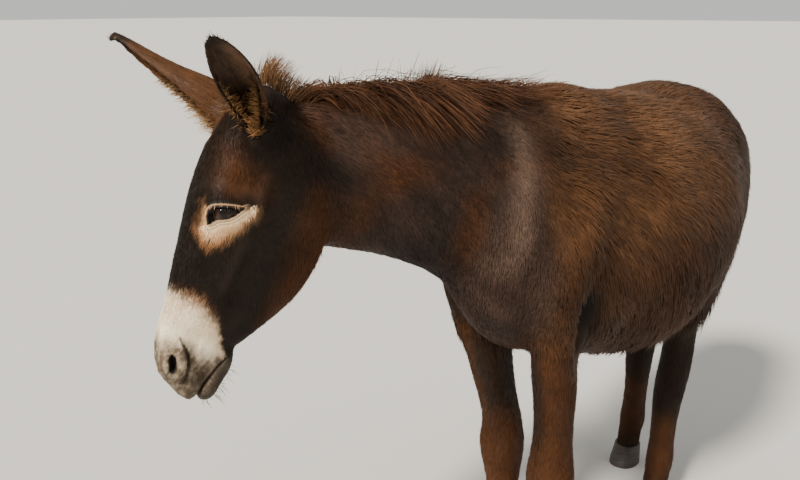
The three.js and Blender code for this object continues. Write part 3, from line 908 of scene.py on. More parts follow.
def hollow_ears(points):
    """Folds the front of each ear's leaf in against its back, which leaves a scoop with a rim."""
    points = points.copy()
    for name in SIDES:
        t, across, out, half, thick, inside = in_ear(points, name)
        angle = np.arctan2(out / thick, across / half)
        rim = ear_rim(t)
        edge = np.minimum(0.0022 / np.hypot(half * np.sin(rim), thick * np.cos(rim)), 0.4)
        from_rim = np.minimum(angle, math.pi - angle) - rim
        at_rim = np.where(angle < math.pi / 2, rim, math.pi - rim)
        angle = np.where(np.abs(from_rim) < edge, at_rim, angle)
        front = inside & (from_rim >= 0)
        lip = inside & (from_rim < 0) & (from_rim > -edge)
        share = (angle - rim) / (math.pi - 2 * rim)
        bend = np.where(lip, -angle, share * (math.pi + 2 * rim) - rim)
        wall = np.where(lip, 0, np.minimum(EAR_WALL, 0.35 * thick))
        move_across = (half - wall) * np.cos(bend) - across
        move_out = -(thick - wall) * np.sin(bend) - out
        amount = smooth_step(0.05, 0.15, t) * (1 - smooth_step(0.985, 1.0, t)) * (front | lip)
        _, _, side_way, facing = ear_axes(name)
        points += (amount * move_across)[:, None] * side_way + (amount * move_out)[:, None] * facing
    return points


def smoothed(values, edges, rounds):
    """Values at the vertices, evened out along the mesh's edges."""
    count = np.bincount(edges.ravel(), minlength=len(values))[:, None]
    for _ in range(rounds):
        total = np.zeros_like(values)
        for axis in range(values.shape[1]):
            total[:, axis] += np.bincount(edges[:, 0], values[edges[:, 1], axis], len(values))
            total[:, axis] += np.bincount(edges[:, 1], values[edges[:, 0], axis], len(values))
        values = 0.5 * values + 0.5 * total / np.maximum(count, 1)
    return values


def even_rims(points, edges):
    """Evens out the ears' rims along the mesh's edges."""
    for name in SIDES:
        t, across, out, half, thick, inside = in_ear(points, name)
        off = np.abs(np.arctan2(out / thick, np.abs(across) / half) - ear_rim(t))
        rim = inside & (t > 0.10) & ((off < 0.45) | (t > 0.93))
        for _ in range(6):
            points[rim] = smoothed(points, edges, 1)[rim]
    return points


def edges_of(mesh):
    edges = np.empty(len(mesh.edges) * 2, int)
    mesh.edges.foreach_get("vertices", edges)
    return edges.reshape(-1, 2)


def fine_places(points):
    """Where the skin's mesh is split once: the muzzle, the eyes and the ears."""
    head = in_head(points)
    fine = (head[:, 0] > 0.375) & (head[:, 0] < 0.6) & (np.abs(head[:, 2]) < 0.09)
    for name, side in SIDES.items():
        fine |= np.linalg.norm(points - eye_place(side), axis=1) < 0.062
        fine |= in_ear(points, name)[5]
    return fine


def finer_places(points, reach):
    """Where it is split again: the edges of the lids, the nostrils and the lips."""
    fine = np.zeros(len(points), bool)
    for side in SIDES.values():
        head = mirrored(points, side)
        round_eye = np.linalg.norm(head - np.array(EYE_PLACE), axis=1) < 0.06
        near = np.nonzero((head[:, 2] > 0.01) & round_eye)[0]
        fine[near] |= eye_opening(head[near])[0] > -1.6 * reach
        near = np.nonzero((head[:, 2] > 0.01) & (np.abs(head[:, 0] - 0.46) < 0.07))[0]
        fine[near] |= inside_by(head[near, :2], NOSTRIL) > -reach
        fine[near] |= along_route(head[near, :2], NOSTRIL_FOLD)[0] < 0.6 * reach
    head = in_head(points)
    near = np.nonzero((head[:, 0] > 0.425) & (head[:, 1] < -0.09))[0]
    fine[near] |= along_route(head[near, :2], MOUTH_LINE)[0] < reach
    return fine


def skin_mesh():
    """The skin as one closed mesh, finest round the eyes, nostrils and lips."""
    forms = donkey_forms()
    low = np.min([form.low for form in forms], 0) - 0.02
    high = np.max([form.high for form in forms], 0) + 0.02
    front = [head_form(), *(ear_form(name) for name in SIDES)]
    fine_low = np.min([form.low for form in front], 0)
    fine_high = np.max([form.high for form in front], 0)
    lines = [grid_lines(*ends) for ends in zip(low, high, fine_low, fine_high)]
    points, faces = net_of(forms, lines)
    mesh = mesh_from("donkey_skin", settle(forms, points), faces)
    for choose in (fine_places, lambda p: finer_places(p, 0.009), lambda p: finer_places(p, 0.004)):
        points, faces = points_of(mesh), faces_of(mesh)
        split_faces(mesh, choose(points[faces].mean(1)))
        points = points_of(mesh)
        new = np.nonzero(choose(points))[0]
        points[new] = settle(forms, points[new])
        mesh.vertices.foreach_set("co", points.astype(np.float32).ravel())
    points, faces = points_of(mesh), faces_of(mesh)
    points = sculpt_face(points, normals_of(points, faces))
    points = hollow_elbows(open_mouth(points, normals_of(points, faces)), normals_of(points, faces))
    points = even_rims(hollow_ears(points), edges_of(mesh))
    mesh.vertices.foreach_set("co", points.astype(np.float32).ravel())
    mesh.update()
    mesh.shade_smooth()
    return mesh


# Measures over the skin ---------------------------------------------------------------------


def hashed(cells, table):
    """One row of a random table for each whole-numbered cell."""
    size = table.shape[0]
    i, j, k = (cells % size).T
    return table[i, j, k]


def noise(points, cell, seed):
    """Smooth random values from -1 to 1 that change over about one cell."""
    table = np.random.default_rng(seed).uniform(-1, 1, (31, 31, 31))
    place = points / cell
    low = np.floor(place).astype(int)
    share = place - low
    share = share * share * (3 - 2 * share)
    total = np.zeros(len(points))
    for corner in np.ndindex(2, 2, 2):
        part = np.prod(np.where(corner, share, 1 - share), 1)
        total += part * hashed(low + corner, table)
    return total * 1.6


def clumps(points, cell, seed):
    """The middle of the irregular cell that each point is in, and four numbers of its own."""
    rng = np.random.default_rng(seed)
    shifts, numbers = rng.random((31, 31, 31, 3)), rng.random((31, 31, 31, 4))
    low = np.floor(points / cell).astype(int)
    best, middle, own = np.full(len(points), 9.0), points.copy(), np.zeros((len(points), 4))
    for corner in np.ndindex(3, 3, 3):
        here = low + corner - 1
        centre = (here + hashed(here, shifts)) * cell
        away = np.linalg.norm(points - centre, axis=1)
        nearer = away < best
        best[nearer], middle[nearer] = away[nearer], centre[nearer]
        own[nearer] = hashed(here, numbers)[nearer]
    return middle, own


REGIONS = ["trunk", "neck", "head", "legs", "ears", "tail"]


def region_shares(points):
    """How much of each region of the body each point belongs to."""
    forms = {name: [] for name in REGIONS}
    forms["trunk"] += [trunk_form(), croup_form()]
    forms["neck"].append(neck_form())
    forms["head"] += [head_form(), *face_forms()]
    forms["tail"].append(dock_form())
    for name, side in SIDES.items():
        forms["trunk"] += [shoulder_form(side), thigh_form(side, HIND_STEP[name])]
        forms["legs"].append(fore_leg_form(side, FORE[name], FORE_BACK[name]))
        forms["legs"].append(hind_leg_form(side, HIND[name], HIND_STEP[name]))
        forms["ears"].append(ear_form(name))
    away = np.stack([distance_to(forms[name], points, 0.09) for name in REGIONS], 1)
    for name in SIDES:
        inside = in_ear(points, name)[5] & (in_ear(points, name)[0] > 0.16)
        away[inside, REGIONS.index("ears")] = -0.05
    shares = np.exp(-(away - away.min(1, keepdims=True)) / 0.010)
    return shares / shares.sum(1, keepdims=True)


def lie_of_coat(points, shares):
    """Which way the hair lies at each place, before it is turned along the skin."""
    body, head = in_body(points), in_head(points)
    left = np.sign(body[:, 1])[:, None]
    low = 1 - smooth_step(0.68, 1.14, body[:, 2])
    low += 0.35 * smooth_step(0.0, 0.3, body[:, 0]) * smooth_step(1.16, 1.0, body[:, 2])
    low = np.clip(low, 0, 1)[:, None]
    chest = smooth_step(0.40, 0.50, body[:, 0])[:, None]
    rump = (1 - smooth_step(-0.60, -0.42, body[:, 0]))[:, None]
    trunk = -FORWARD * (1.0 - 0.62 * low - 0.9 * chest - 0.5 * rump)
    trunk = trunk - UP * (0.42 + 0.95 * low + chest + rump)
    neck_back = unit(way(-0.64, 0.225, -0.165))
    neck = neck_back * 0.75 - UP * 0.75 + LEFT * left * 0.1
    side = np.sign(head[:, 2])[:, None]
    crown = (1 - smooth_step(0.07, 0.16, head[:, 0]))[:, None]
    cheek = smooth_step(-0.06, -0.16, head[:, 1])[:, None]
    out = HEAD[2] * side * (0.25 + 0.25 * crown)
    face = HEAD[0] + out - HEAD[1] * 0.55 * cheek
    ears = np.zeros_like(points)
    for name in SIDES:
        inside = in_ear(points, name)[5] | (np.linalg.norm(points - ear_axes(name)[0], axis=1) < 0.05)
        ears[inside] = ear_axes(name)[1]
    ways = [trunk, neck, face, -UP + 0 * points, ears, -UP - 0.3 * FORWARD + 0 * points]
    return sum(shares[:, i : i + 1] * unit(ways[i]) for i in range(len(REGIONS)))


class Skin:
    """The skin's mesh with the lie of the coat and the regions at its vertices."""

    def __init__(self, mesh):
        self.points, faces = points_of(mesh), faces_of(mesh)
        self.normals = normals_of(self.points, faces)
        halves = [faces[:, [0, 1, 2]], faces[faces[:, 2] != faces[:, 3]][:, [0, 2, 3]]]
        self.triangles = np.concatenate(halves)
        self.edges = edges_of(mesh)
        self.shares = region_shares(self.points)
        self.ways = smoothed(lie_of_coat(self.points, self.shares), self.edges, 12)
        corners = self.points[self.triangles]
        cross = np.cross(corners[:, 1] - corners[:, 0], corners[:, 2] - corners[:, 0])
        self.areas = np.linalg.norm(cross, axis=1) / 2
        self.middles = corners.mean(1)
        self.region = self.shares[self.triangles].mean(1).argmax(1)

    def scatter(self, chosen, count, seed):
        """Random places on the chosen triangles, with their normals, ways and shares."""
        rng = np.random.default_rng(seed)
        weight = np.cumsum(self.areas * chosen)
        picked = np.searchsorted(weight, rng.random(count) * weight[-1])
        u, v = rng.random((2, count))
        over = u + v > 1
        u[over], v[over] = 1 - u[over], 1 - v[over]
        part = np.stack([1 - u - v, u, v], 1)[:, :, None]
        corners = self.triangles[picked]
        tables = (self.points, self.normals, self.ways, self.shares)
        places, normals, ways, shares = [(table[corners] * part).sum(1) for table in tables]
        return places, unit(normals), ways, shares


def flat_on(ways, normals):
    """The ways turned to lie along the skin."""
    return unit(ways - normals * (ways * normals).sum(1, keepdims=True))


def turned_on(ways, normals, angle):
    return ways * np.cos(angle)[:, None] + np.cross(normals, ways) * np.sin(angle)[:, None]


# Colours ------------------------------------------------------------------------------------


def tone(red, green, blue):
    """A colour of 0 to 255 levels as the shader's own linear values."""
    levels = np.array([red, green, blue]) / 255
    return np.where(levels < 0.04045, levels / 12.92, ((levels + 0.055) / 1.055) ** 2.4)


BACK_BROWN = tone(106, 72, 45)
FLANK_BROWN = tone(57, 33, 15)
BELLY_BROWN = tone(64, 34, 12)
NECK_BROWN = tone(39, 28, 22)
SHOULDER_BROWN = tone(58, 42, 34)
PAINTED_SHOULDER_SHEEN = tone(120, 97, 82)
FACE_BROWN = tone(29, 20, 12)
FOREHEAD_BROWN = tone(24, 15, 8)
LEG_BROWN = tone(80, 46, 21)
LEG_DARK = tone(34, 24, 16)
EAR_BACK = tone(92, 60, 36)
EAR_DARK = tone(40, 30, 22)
EAR_INSIDE = tone(108, 80, 60)
EAR_HAIR = tone(138, 100, 62)
FRINGE_PALE = tone(206, 176, 138)
MANE_RED = tone(100, 66, 44)
MANE_DARK = tone(40, 27, 20)
MANE_GOLD = tone(140, 106, 70)
CREAM = tone(255, 238, 206)
RING_CREAM = tone(252, 216, 170)
RING_SHADE = tone(226, 180, 132)
CREAM_SHADE = tone(252, 224, 190)
RUST = tone(140, 96, 62)
LIP_GREY = tone(84, 72, 58)
CHIN_GREY = tone(62, 54, 46)
NOSE_GREY = tone(92, 78, 62)
LID_DARK = tone(30, 24, 21)

MUZZLE_EDGE = [
    (-0.30, 0.430),
    (-0.160, 0.450),
    (-0.140, 0.440),
    (-0.128, 0.420),
    (-0.118, 0.400),
    (-0.105, 0.380),
    (-0.087, 0.363),
    (-0.065, 0.352),
    (-0.046, 0.344),
    (-0.030, 0.341),
    (-0.017, 0.348),
    (0.020, 0.352),
]
EYE_RING = [
    (0.157, -0.106),
    (0.155, -0.095),
    (0.163, -0.060),
    (0.168, -0.030),
    (0.171, -0.016),
    (0.186, -0.012),
    (0.200, -0.010),
    (0.220, -0.013),
    (0.237, -0.022),
    (0.249, -0.034),
    (0.253, -0.046),
    (0.248, -0.058),
    (0.236, -0.070),
    (0.220, -0.082),
    (0.205, -0.092),
    (0.190, -0.098),
    (0.171, -0.107),
    (0.157, -0.106),
]


def mix(first, second, share):
    return first + (second - first) * np.clip(share, 0, 1)[:, None]


def streaks(points, lie, length, width, seed):
    """Random values that run in streaks along one way."""
    across = unit(np.cross(lie, LEFT))
    place = np.stack([points @ lie / length, points @ across / width, points @ LEFT / (2.5 * width)], 1)
    return noise(place, 1.0, seed) + 0.4 * noise(place * 2.3, 1.0, seed + 1)


def shoulder_shading(colours, body, points):
    """Painted light on each shoulder: a painted sheen down its front, painted shade behind it and in the
    elbow's hollow.
    """
    ahead, up = body[:, 0], body[:, 2]
    high = smooth_step(0.88, 0.96, up) * (1 - smooth_step(1.16, 1.21, up))
    # A painted sheen: a pale strip down the front of each shoulder.
    painted_sheen = hump(ahead - 0.470 - 0.20 * (1.16 - up), 0.024) * high
    # Painted shade in a band behind the sheen, where the shoulder shades the flank.
    dark = hump(ahead - 0.400 - 0.15 * (1.19 - up), 0.028) * high * (0.7 + 0.5 * noise(points, 0.05, 31))
    # Painted shade in the hollow between the elbow and the belly, over the modelled hollow.
    hollow = hump(ahead - ELBOW_HOLLOW[0] + 0.004, 0.040) * hump(up - ELBOW_HOLLOW[1] + 0.03, 0.100)
    hollow = hollow * smooth_step(0.06, 0.09, np.abs(body[:, 1]))
    colours = mix(colours, PAINTED_SHOULDER_SHEEN, 0.38 * painted_sheen)
    colours = mix(colours, LEG_DARK, 0.55 * dark)
    return mix(colours, LEG_DARK * 0.15, 2.4 * hollow)


def body_colours(points):
    """Browns of the trunk, neck and legs, which shade into each other."""
    body = in_body(points)
    high = smooth_step(0.84, 1.20, body[:, 2])
    trunk = mix(FLANK_BROWN, BACK_BROWN, high + 0.30 * noise(points, 0.16, 5))
    trunk = mix(trunk, BELLY_BROWN, 1 - smooth_step(0.60, 0.66, body[:, 2]))
    front = smooth_step(0.42, 0.47, body[:, 0])
    trunk = mix(trunk, SHOULDER_BROWN, front * (1 - 0.5 * smooth_step(1.14, 1.22, body[:, 2])))
    # Painted shade: the trunk is darker towards the rear, and darkest over the back of the rump.
    rear = 1 - smooth_step(-0.44, -0.06, body[:, 0])
    trunk = mix(trunk, FLANK_BROWN[None] * 0.60, 0.85 * rear)
    trunk = mix(trunk, FLANK_BROWN[None] * 0.25, 0.8 * smooth_step(-0.47, -0.56, body[:, 0]))
    run = 0.6 * streaks(points, unit(way(-0.86, 0, -0.50)), 0.240, 0.026, 32)
    run += 0.4 * streaks(points, unit(way(-0.80, 0, -0.60)), 0.100, 0.010, 35)
    trunk = shoulder_shading(trunk * (1 + 0.26 * run)[:, None], body, points)
    crest = smooth_step(1.10, 1.24, body[:, 2])
    neck = mix(NECK_BROWN, SHOULDER_BROWN, 0.4 * crest + 0.8 * noise(points, 0.08, 6))
    neck = mix(neck, BELLY_BROWN, 0.5 * noise(points, 0.07, 36))
    neck = neck * (1 - 0.2 * crest + 0.30 * noise(points, 0.13, 37))[:, None]
    run = streaks(points, unit(way(-0.60, 0, -0.80)), 0.060, 0.009, 34)
    neck = shoulder_shading(neck * (1 + 0.18 * run)[:, None], body, points)
    inner = smooth_step(0.105, 0.075, np.abs(body[:, 1]))
    inner = inner * (0.25 + 0.6 * smooth_step(0.46, 0.54, body[:, 2]))
    legs = mix(LEG_BROWN, LEG_DARK, inner + 0.5 * (1 - smooth_step(0.06, 0.14, body[:, 2])))
    # Painted shade: the hind legs are painted nearly black above about 0.3 m and less dark below it. All
    # legs are also darker from about 0.3 m to 0.75 m up.
    dark = smooth_step(0.30, 0.45, body[:, 2]) * (1 - smooth_step(0.62, 0.75, body[:, 2]))
    hind = 1 - smooth_step(-0.2, 0.0, body[:, 0])
    low = 1 - smooth_step(0.24, 0.33, body[:, 2])
    legs = mix(legs, LEG_DARK * 0.7, np.maximum(0.35 * dark, 0.92 * hind * (1 - 0.6 * low)))
    tail = mix(FLANK_BROWN, LEG_DARK, 1 - smooth_step(0.8, 1.0, body[:, 2]))
    return [trunk, neck, None, legs, None, tail]


def muzzle_share(head, points):
    edge = np.array(MUZZLE_EDGE)
    line = np.interp(head[:, 1], edge[:, 0], edge[:, 1])
    ragged = 0.004 * noise(points, 0.012, 7) + 0.003 * noise(points, 0.005, 8)
    return head[:, 0] - line + ragged


def head_colours(points):
    """The head's browns, its white muzzle and the pale ring round each eye, with painted shade in its
    creases and openings.
    """
    head = in_head(points)
    head[:, 2] = np.abs(head[:, 2])
    colours = np.repeat(FACE_BROWN[None], len(points), 0)
    colours = mix(colours, FOREHEAD_BROWN, smooth_step(-0.10, -0.03, head[:, 1]))
    colours = mix(colours, FACE_BROWN * 0.75, 0.6 + 0.6 * noise(points, 0.05, 9))
    # Painted shade: a dark line along the facial crest.
    crest = hump(along_route(head[:, :2], FACE_CREST + [(0.40, -0.085)])[0], 0.012)
    colours = mix(colours, LEG_DARK * 0.8, 0.4 * crest * (head[:, 2] > 0.02))
    jaw = smooth_step(-0.15, -0.21, head[:, 1]) * smooth_step(0.05, 0.12, head[:, 0])
    colours = mix(colours, LEG_BROWN, 0.7 * jaw + 0.45 * mound(head, (0.135, -0.075), (0.035, 0.035), 1.0))
    patches = mound(head, (0.128, -0.050), (0.028, 0.030), 1.0)
    patches = patches + mound(head, (0.085, -0.035), (0.030, 0.022), 0.8)
    colours = mix(colours, LEG_BROWN, 0.6 * patches)
    past = muzzle_share(head, points)
    flank = smooth_step(0.015, 0.04, head[:, 2])
    fringe = smooth_step(-0.026, 0.0, past) * flank * hump(head[:, 1] + 0.058, 0.036)
    colours = mix(colours, RUST, 0.60 * fringe)
    cream = mix(CREAM, CREAM_SHADE[None], 0.5 + 0.5 * noise(points, 0.03, 10))
    cream = mix(cream, RUST * 1.3, 0.5 * flank * smooth_step(0.040, -0.004, past))
    cream = mix(cream, NOSE_GREY, muzzle_greys(head, points))
    colours = mix(colours, cream, smooth_step(-0.012, 0.010, past))
    lips = muzzle_lips(head, points)
    colours = mix(colours, LIP_GREY, 0.9 * lips)
    chin = smooth_step(-0.118, -0.128, head[:, 1]) * smooth_step(0.425, 0.445, head[:, 0])
    colours = mix(colours, CHIN_GREY, chin * (0.8 + 0.3 * noise(points, 0.02, 11)))
    # Painted shade in the slit between the lips, over the modelled groove.
    mouth = along_route(head[:, :2], MOUTH_LINE)[0]
    slit = hump(mouth, 0.0026) * (head[:, 0] > 0.432)
    colours = mix(colours, LID_DARK, slit)
    # Painted shade inside each nostril's sunken opening.
    nostril = smooth_step(-0.003, 0.002, inside_by(head[:, :2], NOSTRIL)) * (head[:, 2] > 0.012)
    colours = mix(colours, LID_DARK, nostril)
    # Painted shade in the fold beside each nostril.
    fold = hump(along_route(head[:, :2], NOSTRIL_FOLD)[0], 0.0030) * (head[:, 2] > 0.012)
    colours = mix(colours, CHIN_GREY * 0.5, 0.8 * fold)
    return eye_colours(colours, head, points)


def muzzle_greys(head, points):
    """Grey skin that shows through the white hair over the nose and round the nostrils."""
    rise = [-0.12, -0.10, -0.085, -0.07, -0.045, -0.01]
    start = np.interp(head[:, 1], rise, [0.432, 0.426, 0.410, 0.399, 0.406, 0.412])
    low = smooth_step(0.0, 0.040, head[:, 0] - start + 0.004 * noise(points, 0.008, 20))
    mottled = 0.92 + 0.14 * noise(points, 0.010, 12) + 0.12 * noise(points, 0.004, 19)
    return low * mottled


def muzzle_lips(head, points):
    front = smooth_step(-0.085, -0.100, head[:, 1]) * smooth_step(0.470, 0.498, head[:, 0])
    side = smooth_step(-0.100, -0.118, head[:, 1]) * smooth_step(0.428, 0.450, head[:, 0])
    specks = 0.6 + 0.5 * noise(points, 0.005, 13)
    return np.clip(np.maximum(front, 0.8 * side) * specks, 0, 1)


def eye_colours(colours, head, points):
    """The pale ring below the eye, rusty in front and grey behind, the dark rims of the lids, and painted
    shade in the fold over the upper lid.
    """
    near = np.nonzero((head[:, 2] > 0.03) & (np.abs(head[:, 0] - 0.2) < 0.08) & (head[:, 1] > -0.13))[0]
    place, flat = points[near], head[near]
    ragged = 0.0030 * noise(place, 0.012, 14) + 0.0020 * noise(place, 0.004, 15)
    ring = inside_by(flat[:, :2], EYE_RING) + ragged
    inside, above = eye_opening(flat)
    deep = smooth_step(0.002, 0.020, ring) * smooth_step(0.252, 0.218, flat[:, 0])
    pale = mix(RUST, RING_SHADE[None], deep)
    pale = mix(pale, RING_CREAM[None], smooth_step(-0.018, -0.006, inside) * ~above)
    behind = smooth_step(-0.062, -0.088, flat[:, 1])
    pale = mix(pale, NOSE_GREY * 0.8, 0.7 * behind * smooth_step(0.012, 0.0, ring))
    u, v = lid_places(flat).T
    front = smooth_step(0.002, -0.003, u + 0.035 + 0.345 * v)
    part = smooth_step(-0.007, 0.009, ring) * np.maximum(~above, front)
    made = mix(colours[near], pale, part)
    # Painted shade in the fold over the upper lid, under the brow.
    made = mix(made, LEG_DARK, 0.6 * above * hump(inside + 0.016, 0.007))
    made = mix(made, LID_DARK, above * (1 - front) * smooth_step(-0.020, -0.008, inside))
    band = above * hump(inside + 0.0052, 0.0012) * smooth_step(-0.092, -0.070, flat[:, 1])
    made = mix(made, RING_SHADE, 0.55 * band)
    made = mix(made, LID_DARK, smooth_step(-0.0042, -0.0020, inside) * np.where(above, 1.0, 0.6))
    mole = np.hypot(flat[:, 0] - 0.238, flat[:, 1] + 0.044)
    made = mix(made, LID_DARK, smooth_step(0.0042, 0.0022, mole))
    colours[near] = made
    return colours


def ear_colours(points, normals):
    colours = np.repeat(EAR_BACK[None], len(points), 0)
    for name in SIDES:
        t, across, out, half, _, inside = in_ear(points, name)
        facing = ear_axes(name)[3]
        edge = np.abs(across) / np.maximum(half, 1e-3)
        dark = smooth_step(0.80, 0.97, edge) * smooth_step(0.25, 0.5, t)
        dark = dark * (0.3 if name == "right" else 1)
        dark = np.maximum(dark, smooth_step(0.84, 0.95, t))
        streak = 0.5 + 0.5 * noise(np.stack([across * 6, out * 6, t * 0.05], 1), 0.012, 16)
        made = mix(EAR_BACK * 1.1, EAR_BACK[None] * 0.5, streak * 0.8)
        made = mix(made, FOREHEAD_BROWN, 1 - smooth_step(0.08, 0.30, t))
        made = mix(made, EAR_DARK, dark)
        inner = normals @ facing - (normals @ ear_axes(name)[2]) * np.sign(across)
        lit = 0.6 * smooth_step(-0.2, 0.7, across / half) * smooth_step(0.25, 0.4, t) + 0.3 * streak
        hollow = mix(EAR_DARK, EAR_INSIDE[None], lit)
        if name == "right":
            hollow = mix(EAR_BACK * 0.9, EAR_BACK[None] * 1.4, streak)
        hollow = mix(hollow, EAR_DARK * 0.8, smooth_step(0.80, 0.95, t))
        made = mix(made, hollow, smooth_step(0.0, 0.4, inner) * smooth_step(0.10, 0.16, t))
        near = inside | (np.linalg.norm(points - ear_axes(name)[0], axis=1) < 0.055)
        colours[near] = made[near]
    return colours


def coat_colours(points, normals, shares):
    """The coat's colour at each place, for the skin and the tufts alike."""
    parts = body_colours(points)
    parts[2] = head_colours(points)
    parts[4] = ear_colours(points, normals)
    total = sum(shares[:, i : i + 1] * part for i, part in enumerate(parts))
    return total * (1 + 0.10 * noise(points, 0.035, 17) + 0.08 * noise(points, 0.012, 18))[:, None]


# Tufts --------------------------------------------------------------------------------------

PATCH = 0.003  # the size of each tuft's patch on the coat's map


def tuft_triangles(steps):
    """The triangles of one closed tuft, which tapers to a point in the skin and at its tip."""
    triangles, last = [], 3 * steps - 8
    for j, k in ((0, 1), (1, 2), (2, 0)):
        triangles.append((0, 1 + k, 1 + j))
        for ring in range(steps - 3):
            a, b = 1 + 3 * ring, 4 + 3 * ring
            triangles += [(a + j, a + k, b + k), (a + j, b + k, b + j)]
        triangles.append((last + j, last + k, last + 3))
    return triangles


def tuft_mesh(name, paths, widths, sides, colours, places, flat=0.45, facing=None):
    """Closed tufts, three-cornered in section. One of two steps stands on its own flat end.
    `colours` holds one for the root, middle and tip, and `places` where each is on the map.
    They are shaded partly as the skin under them is, which faces the `facing` ways."""
    count, steps = paths.shape[:2]
    along = unit(np.gradient(paths, axis=1))
    across = unit(sides[:, None] - along * (sides[:, None] * along).sum(2, keepdims=True))
    rise = np.cross(along, across)
    half = widths[:, :, None] / 2
    low = paths - rise * half * flat * 0.4
    rings = np.stack([low - across * half, low + across * half, paths + rise * half * flat], 2)
    if steps == 2:
        points = np.concatenate([rings[:, 0], paths[:, 1:]], 1)
        triangles = [(0, 2, 1), (0, 1, 3), (1, 2, 3), (2, 0, 3)]
        share, corner = np.array([0.4, 0.4, 0.4, 1]), np.array([-1, 1, 0, 0])
    else:
        points = np.concatenate([paths[:, :1], rings[:, 1:-1].reshape(count, -1, 3), paths[:, -1:]], 1)
        triangles = tuft_triangles(steps)
        share = np.concatenate([[0], np.repeat(np.arange(1, steps - 1), 3), [steps - 1]]) / (steps - 1)
        corner = np.concatenate([[0], np.tile([-1, 1, 0], steps - 2), [0]])
    each = points.shape[1]
    triangles = (np.array(triangles)[None] + each * np.arange(count)[:, None, None]).reshape(-1, 3)
    table = np.stack([np.interp(share, [0, 0.5, 1], row) for row in np.eye(3)], 1)
    shades = np.einsum("pk,nkc->npc", table, colours)
    spots = places[:, None] + PATCH * np.stack([share - 0.5, corner * 0.4], 1)
    mesh = plain_mesh(name, points.reshape(-1, 3), triangles, shades.reshape(-1, 3), spots.reshape(-1, 2))
    if facing is not None:
        own = normals_of(points.reshape(-1, 3), triangles[:, [0, 1, 2, 2]])
        mesh.normals_split_custom_set_from_vertices(unit(own * 0.5 + np.repeat(facing, each, 0)))
    return mesh


def plain_mesh(name, points, triangles, colours, places):
    mesh = bpy.data.meshes.new(name)
    mesh.vertices.add(len(points))
    mesh.vertices.foreach_set("co", points.astype(np.float32).ravel())
    mesh.loops.add(triangles.size)
    mesh.loops.foreach_set("vertex_index", triangles.astype(np.int32).ravel())
    mesh.polygons.add(len(triangles))
    mesh.polygons.foreach_set("loop_start", np.arange(0, triangles.size, 3, dtype=np.int32))
    mesh.update(calc_edges=True)
    mesh.shade_smooth()
    paint(mesh, colours)
    spread = mesh.uv_layers.new(name="OFBake")
    spread.data.foreach_set("uv", places[triangles.ravel()].astype(np.float32).ravel())
    return mesh


def paint(mesh, colours):
    layer = mesh.color_attributes.new("coat_colour", "FLOAT_COLOR", "POINT")
    full = np.concatenate([np.clip(colours, 0, 1), np.ones((len(colours), 1))], 1)
    layer.data.foreach_set("color", full.astype(np.float32).ravel())


def to_square(places):
    """Fits places on the map into its unit square."""
    low, high = places.min(0), places.max(0)
    return 0.004 + 0.992 * (places - low) / (high - low)


def add_piece(name, mesh, material):
    piece = bpy.data.objects.new(name, mesh)
    bpy.context.scene.collection.objects.link(piece)
    mesh.materials.append(material)
    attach(piece, "root")
    return piece


def coat_paths(forms, places, normals, ways, lengths, lifts, short):
    """Points along each tuft: in the skin, over it unless it is short, and at its raised tip."""
    base = distance_to(forms, places)
    path = [places - normals * 0.0006]
    for share, rise in ((1.0, 1.0),) if short else ((0.42, 0.62), (1.0, 1.0)):
        point = places + ways * (lengths * share)[:, None]
        away = distance_to(forms, point) - base
        path.append(point + normals * np.clip(lifts * rise - away, -0.02, 0.03)[:, None])
    return np.stack(path, 1)


def gathered(paths, roots, middle, ways, strength):
    """Draws the tufts of each lock together towards its tip."""
    aim = (middle - roots) - ways * ((middle - roots) * ways).sum(1, keepdims=True)
    paths = paths.copy()
    paths[:, -1] += aim * strength[:, None]
    if paths.shape[1] > 2:
        paths[:, 1] += aim * (strength * 0.35)[:, None]
    return paths


def coat_piece(name, skin, forms, chosen, count, style, seed):
    """One piece of the coat, `count` tufts spread over the chosen triangles by their weights."""
    places, normals, ways, shares = skin.scatter(chosen, count, seed)
    if style.keep:
        kept = style.keep(places)
        places, normals, ways, shares = (table[kept] for table in (places, normals, ways, shares))
    rng = np.random.default_rng(seed + 1)
    size = len(places)
    length, width, lift, gather = style.sizes(places)
    middle, own = clumps(places, style.lock, 21)
    swing = style.swing * (noise(places, 0.080, 22) + 0.7 * noise(places, 0.030, 23))
    swing += 0.09 * rng.normal(size=size) + 0.30 * (own[:, 0] - 0.5) * gather
    lies = turned_on(flat_on(ways, normals), normals, swing)
    length = length * (0.70 + 0.60 * rng.random(size))
    lift = lift * (0.30 + 0.50 * rng.random(size) + 0.25 * own[:, 1])
    paths = coat_paths(forms, places, normals, lies, length, lift, style.short)
    paths = gathered(paths, places, middle, lies, 0.6 * gather)
    taper = np.array([1, 0]) if style.short else np.array([0, 1, 0])
    widths = width[:, None] * taper * (0.70 + 0.60 * rng.random(size))[:, None]
    shade = coat_colours(places, normals, shares)
    spread = 0.16 * (rng.random(size) - 0.5) + 0.14 * (own[:, 2] - 0.5) * gather
    shade = shade * (1 + spread)[:, None] * (1 + np.outer(0.06 * (own[:, 3] - 0.5) * gather, [1, 0.4, 0]))
    colours = shade[:, None] * np.array(style.fade)[None, :, None]
    spots = to_square(style.unwrap(places))
    mesh = tuft_mesh(name, paths, widths, np.cross(normals, lies), colours, spots, facing=normals)
    return add_piece(name, mesh, style.material)


# The coat of each region --------------------------------------------------------------------


def shortness(places):
    """The coat is short and smooth over the shoulder and chest, and long behind."""
    body = in_body(places)
    return smooth_step(0.37, 0.46, body[:, 0]) * (1 - 0.7 * smooth_step(1.16, 1.22, body[:, 2]))


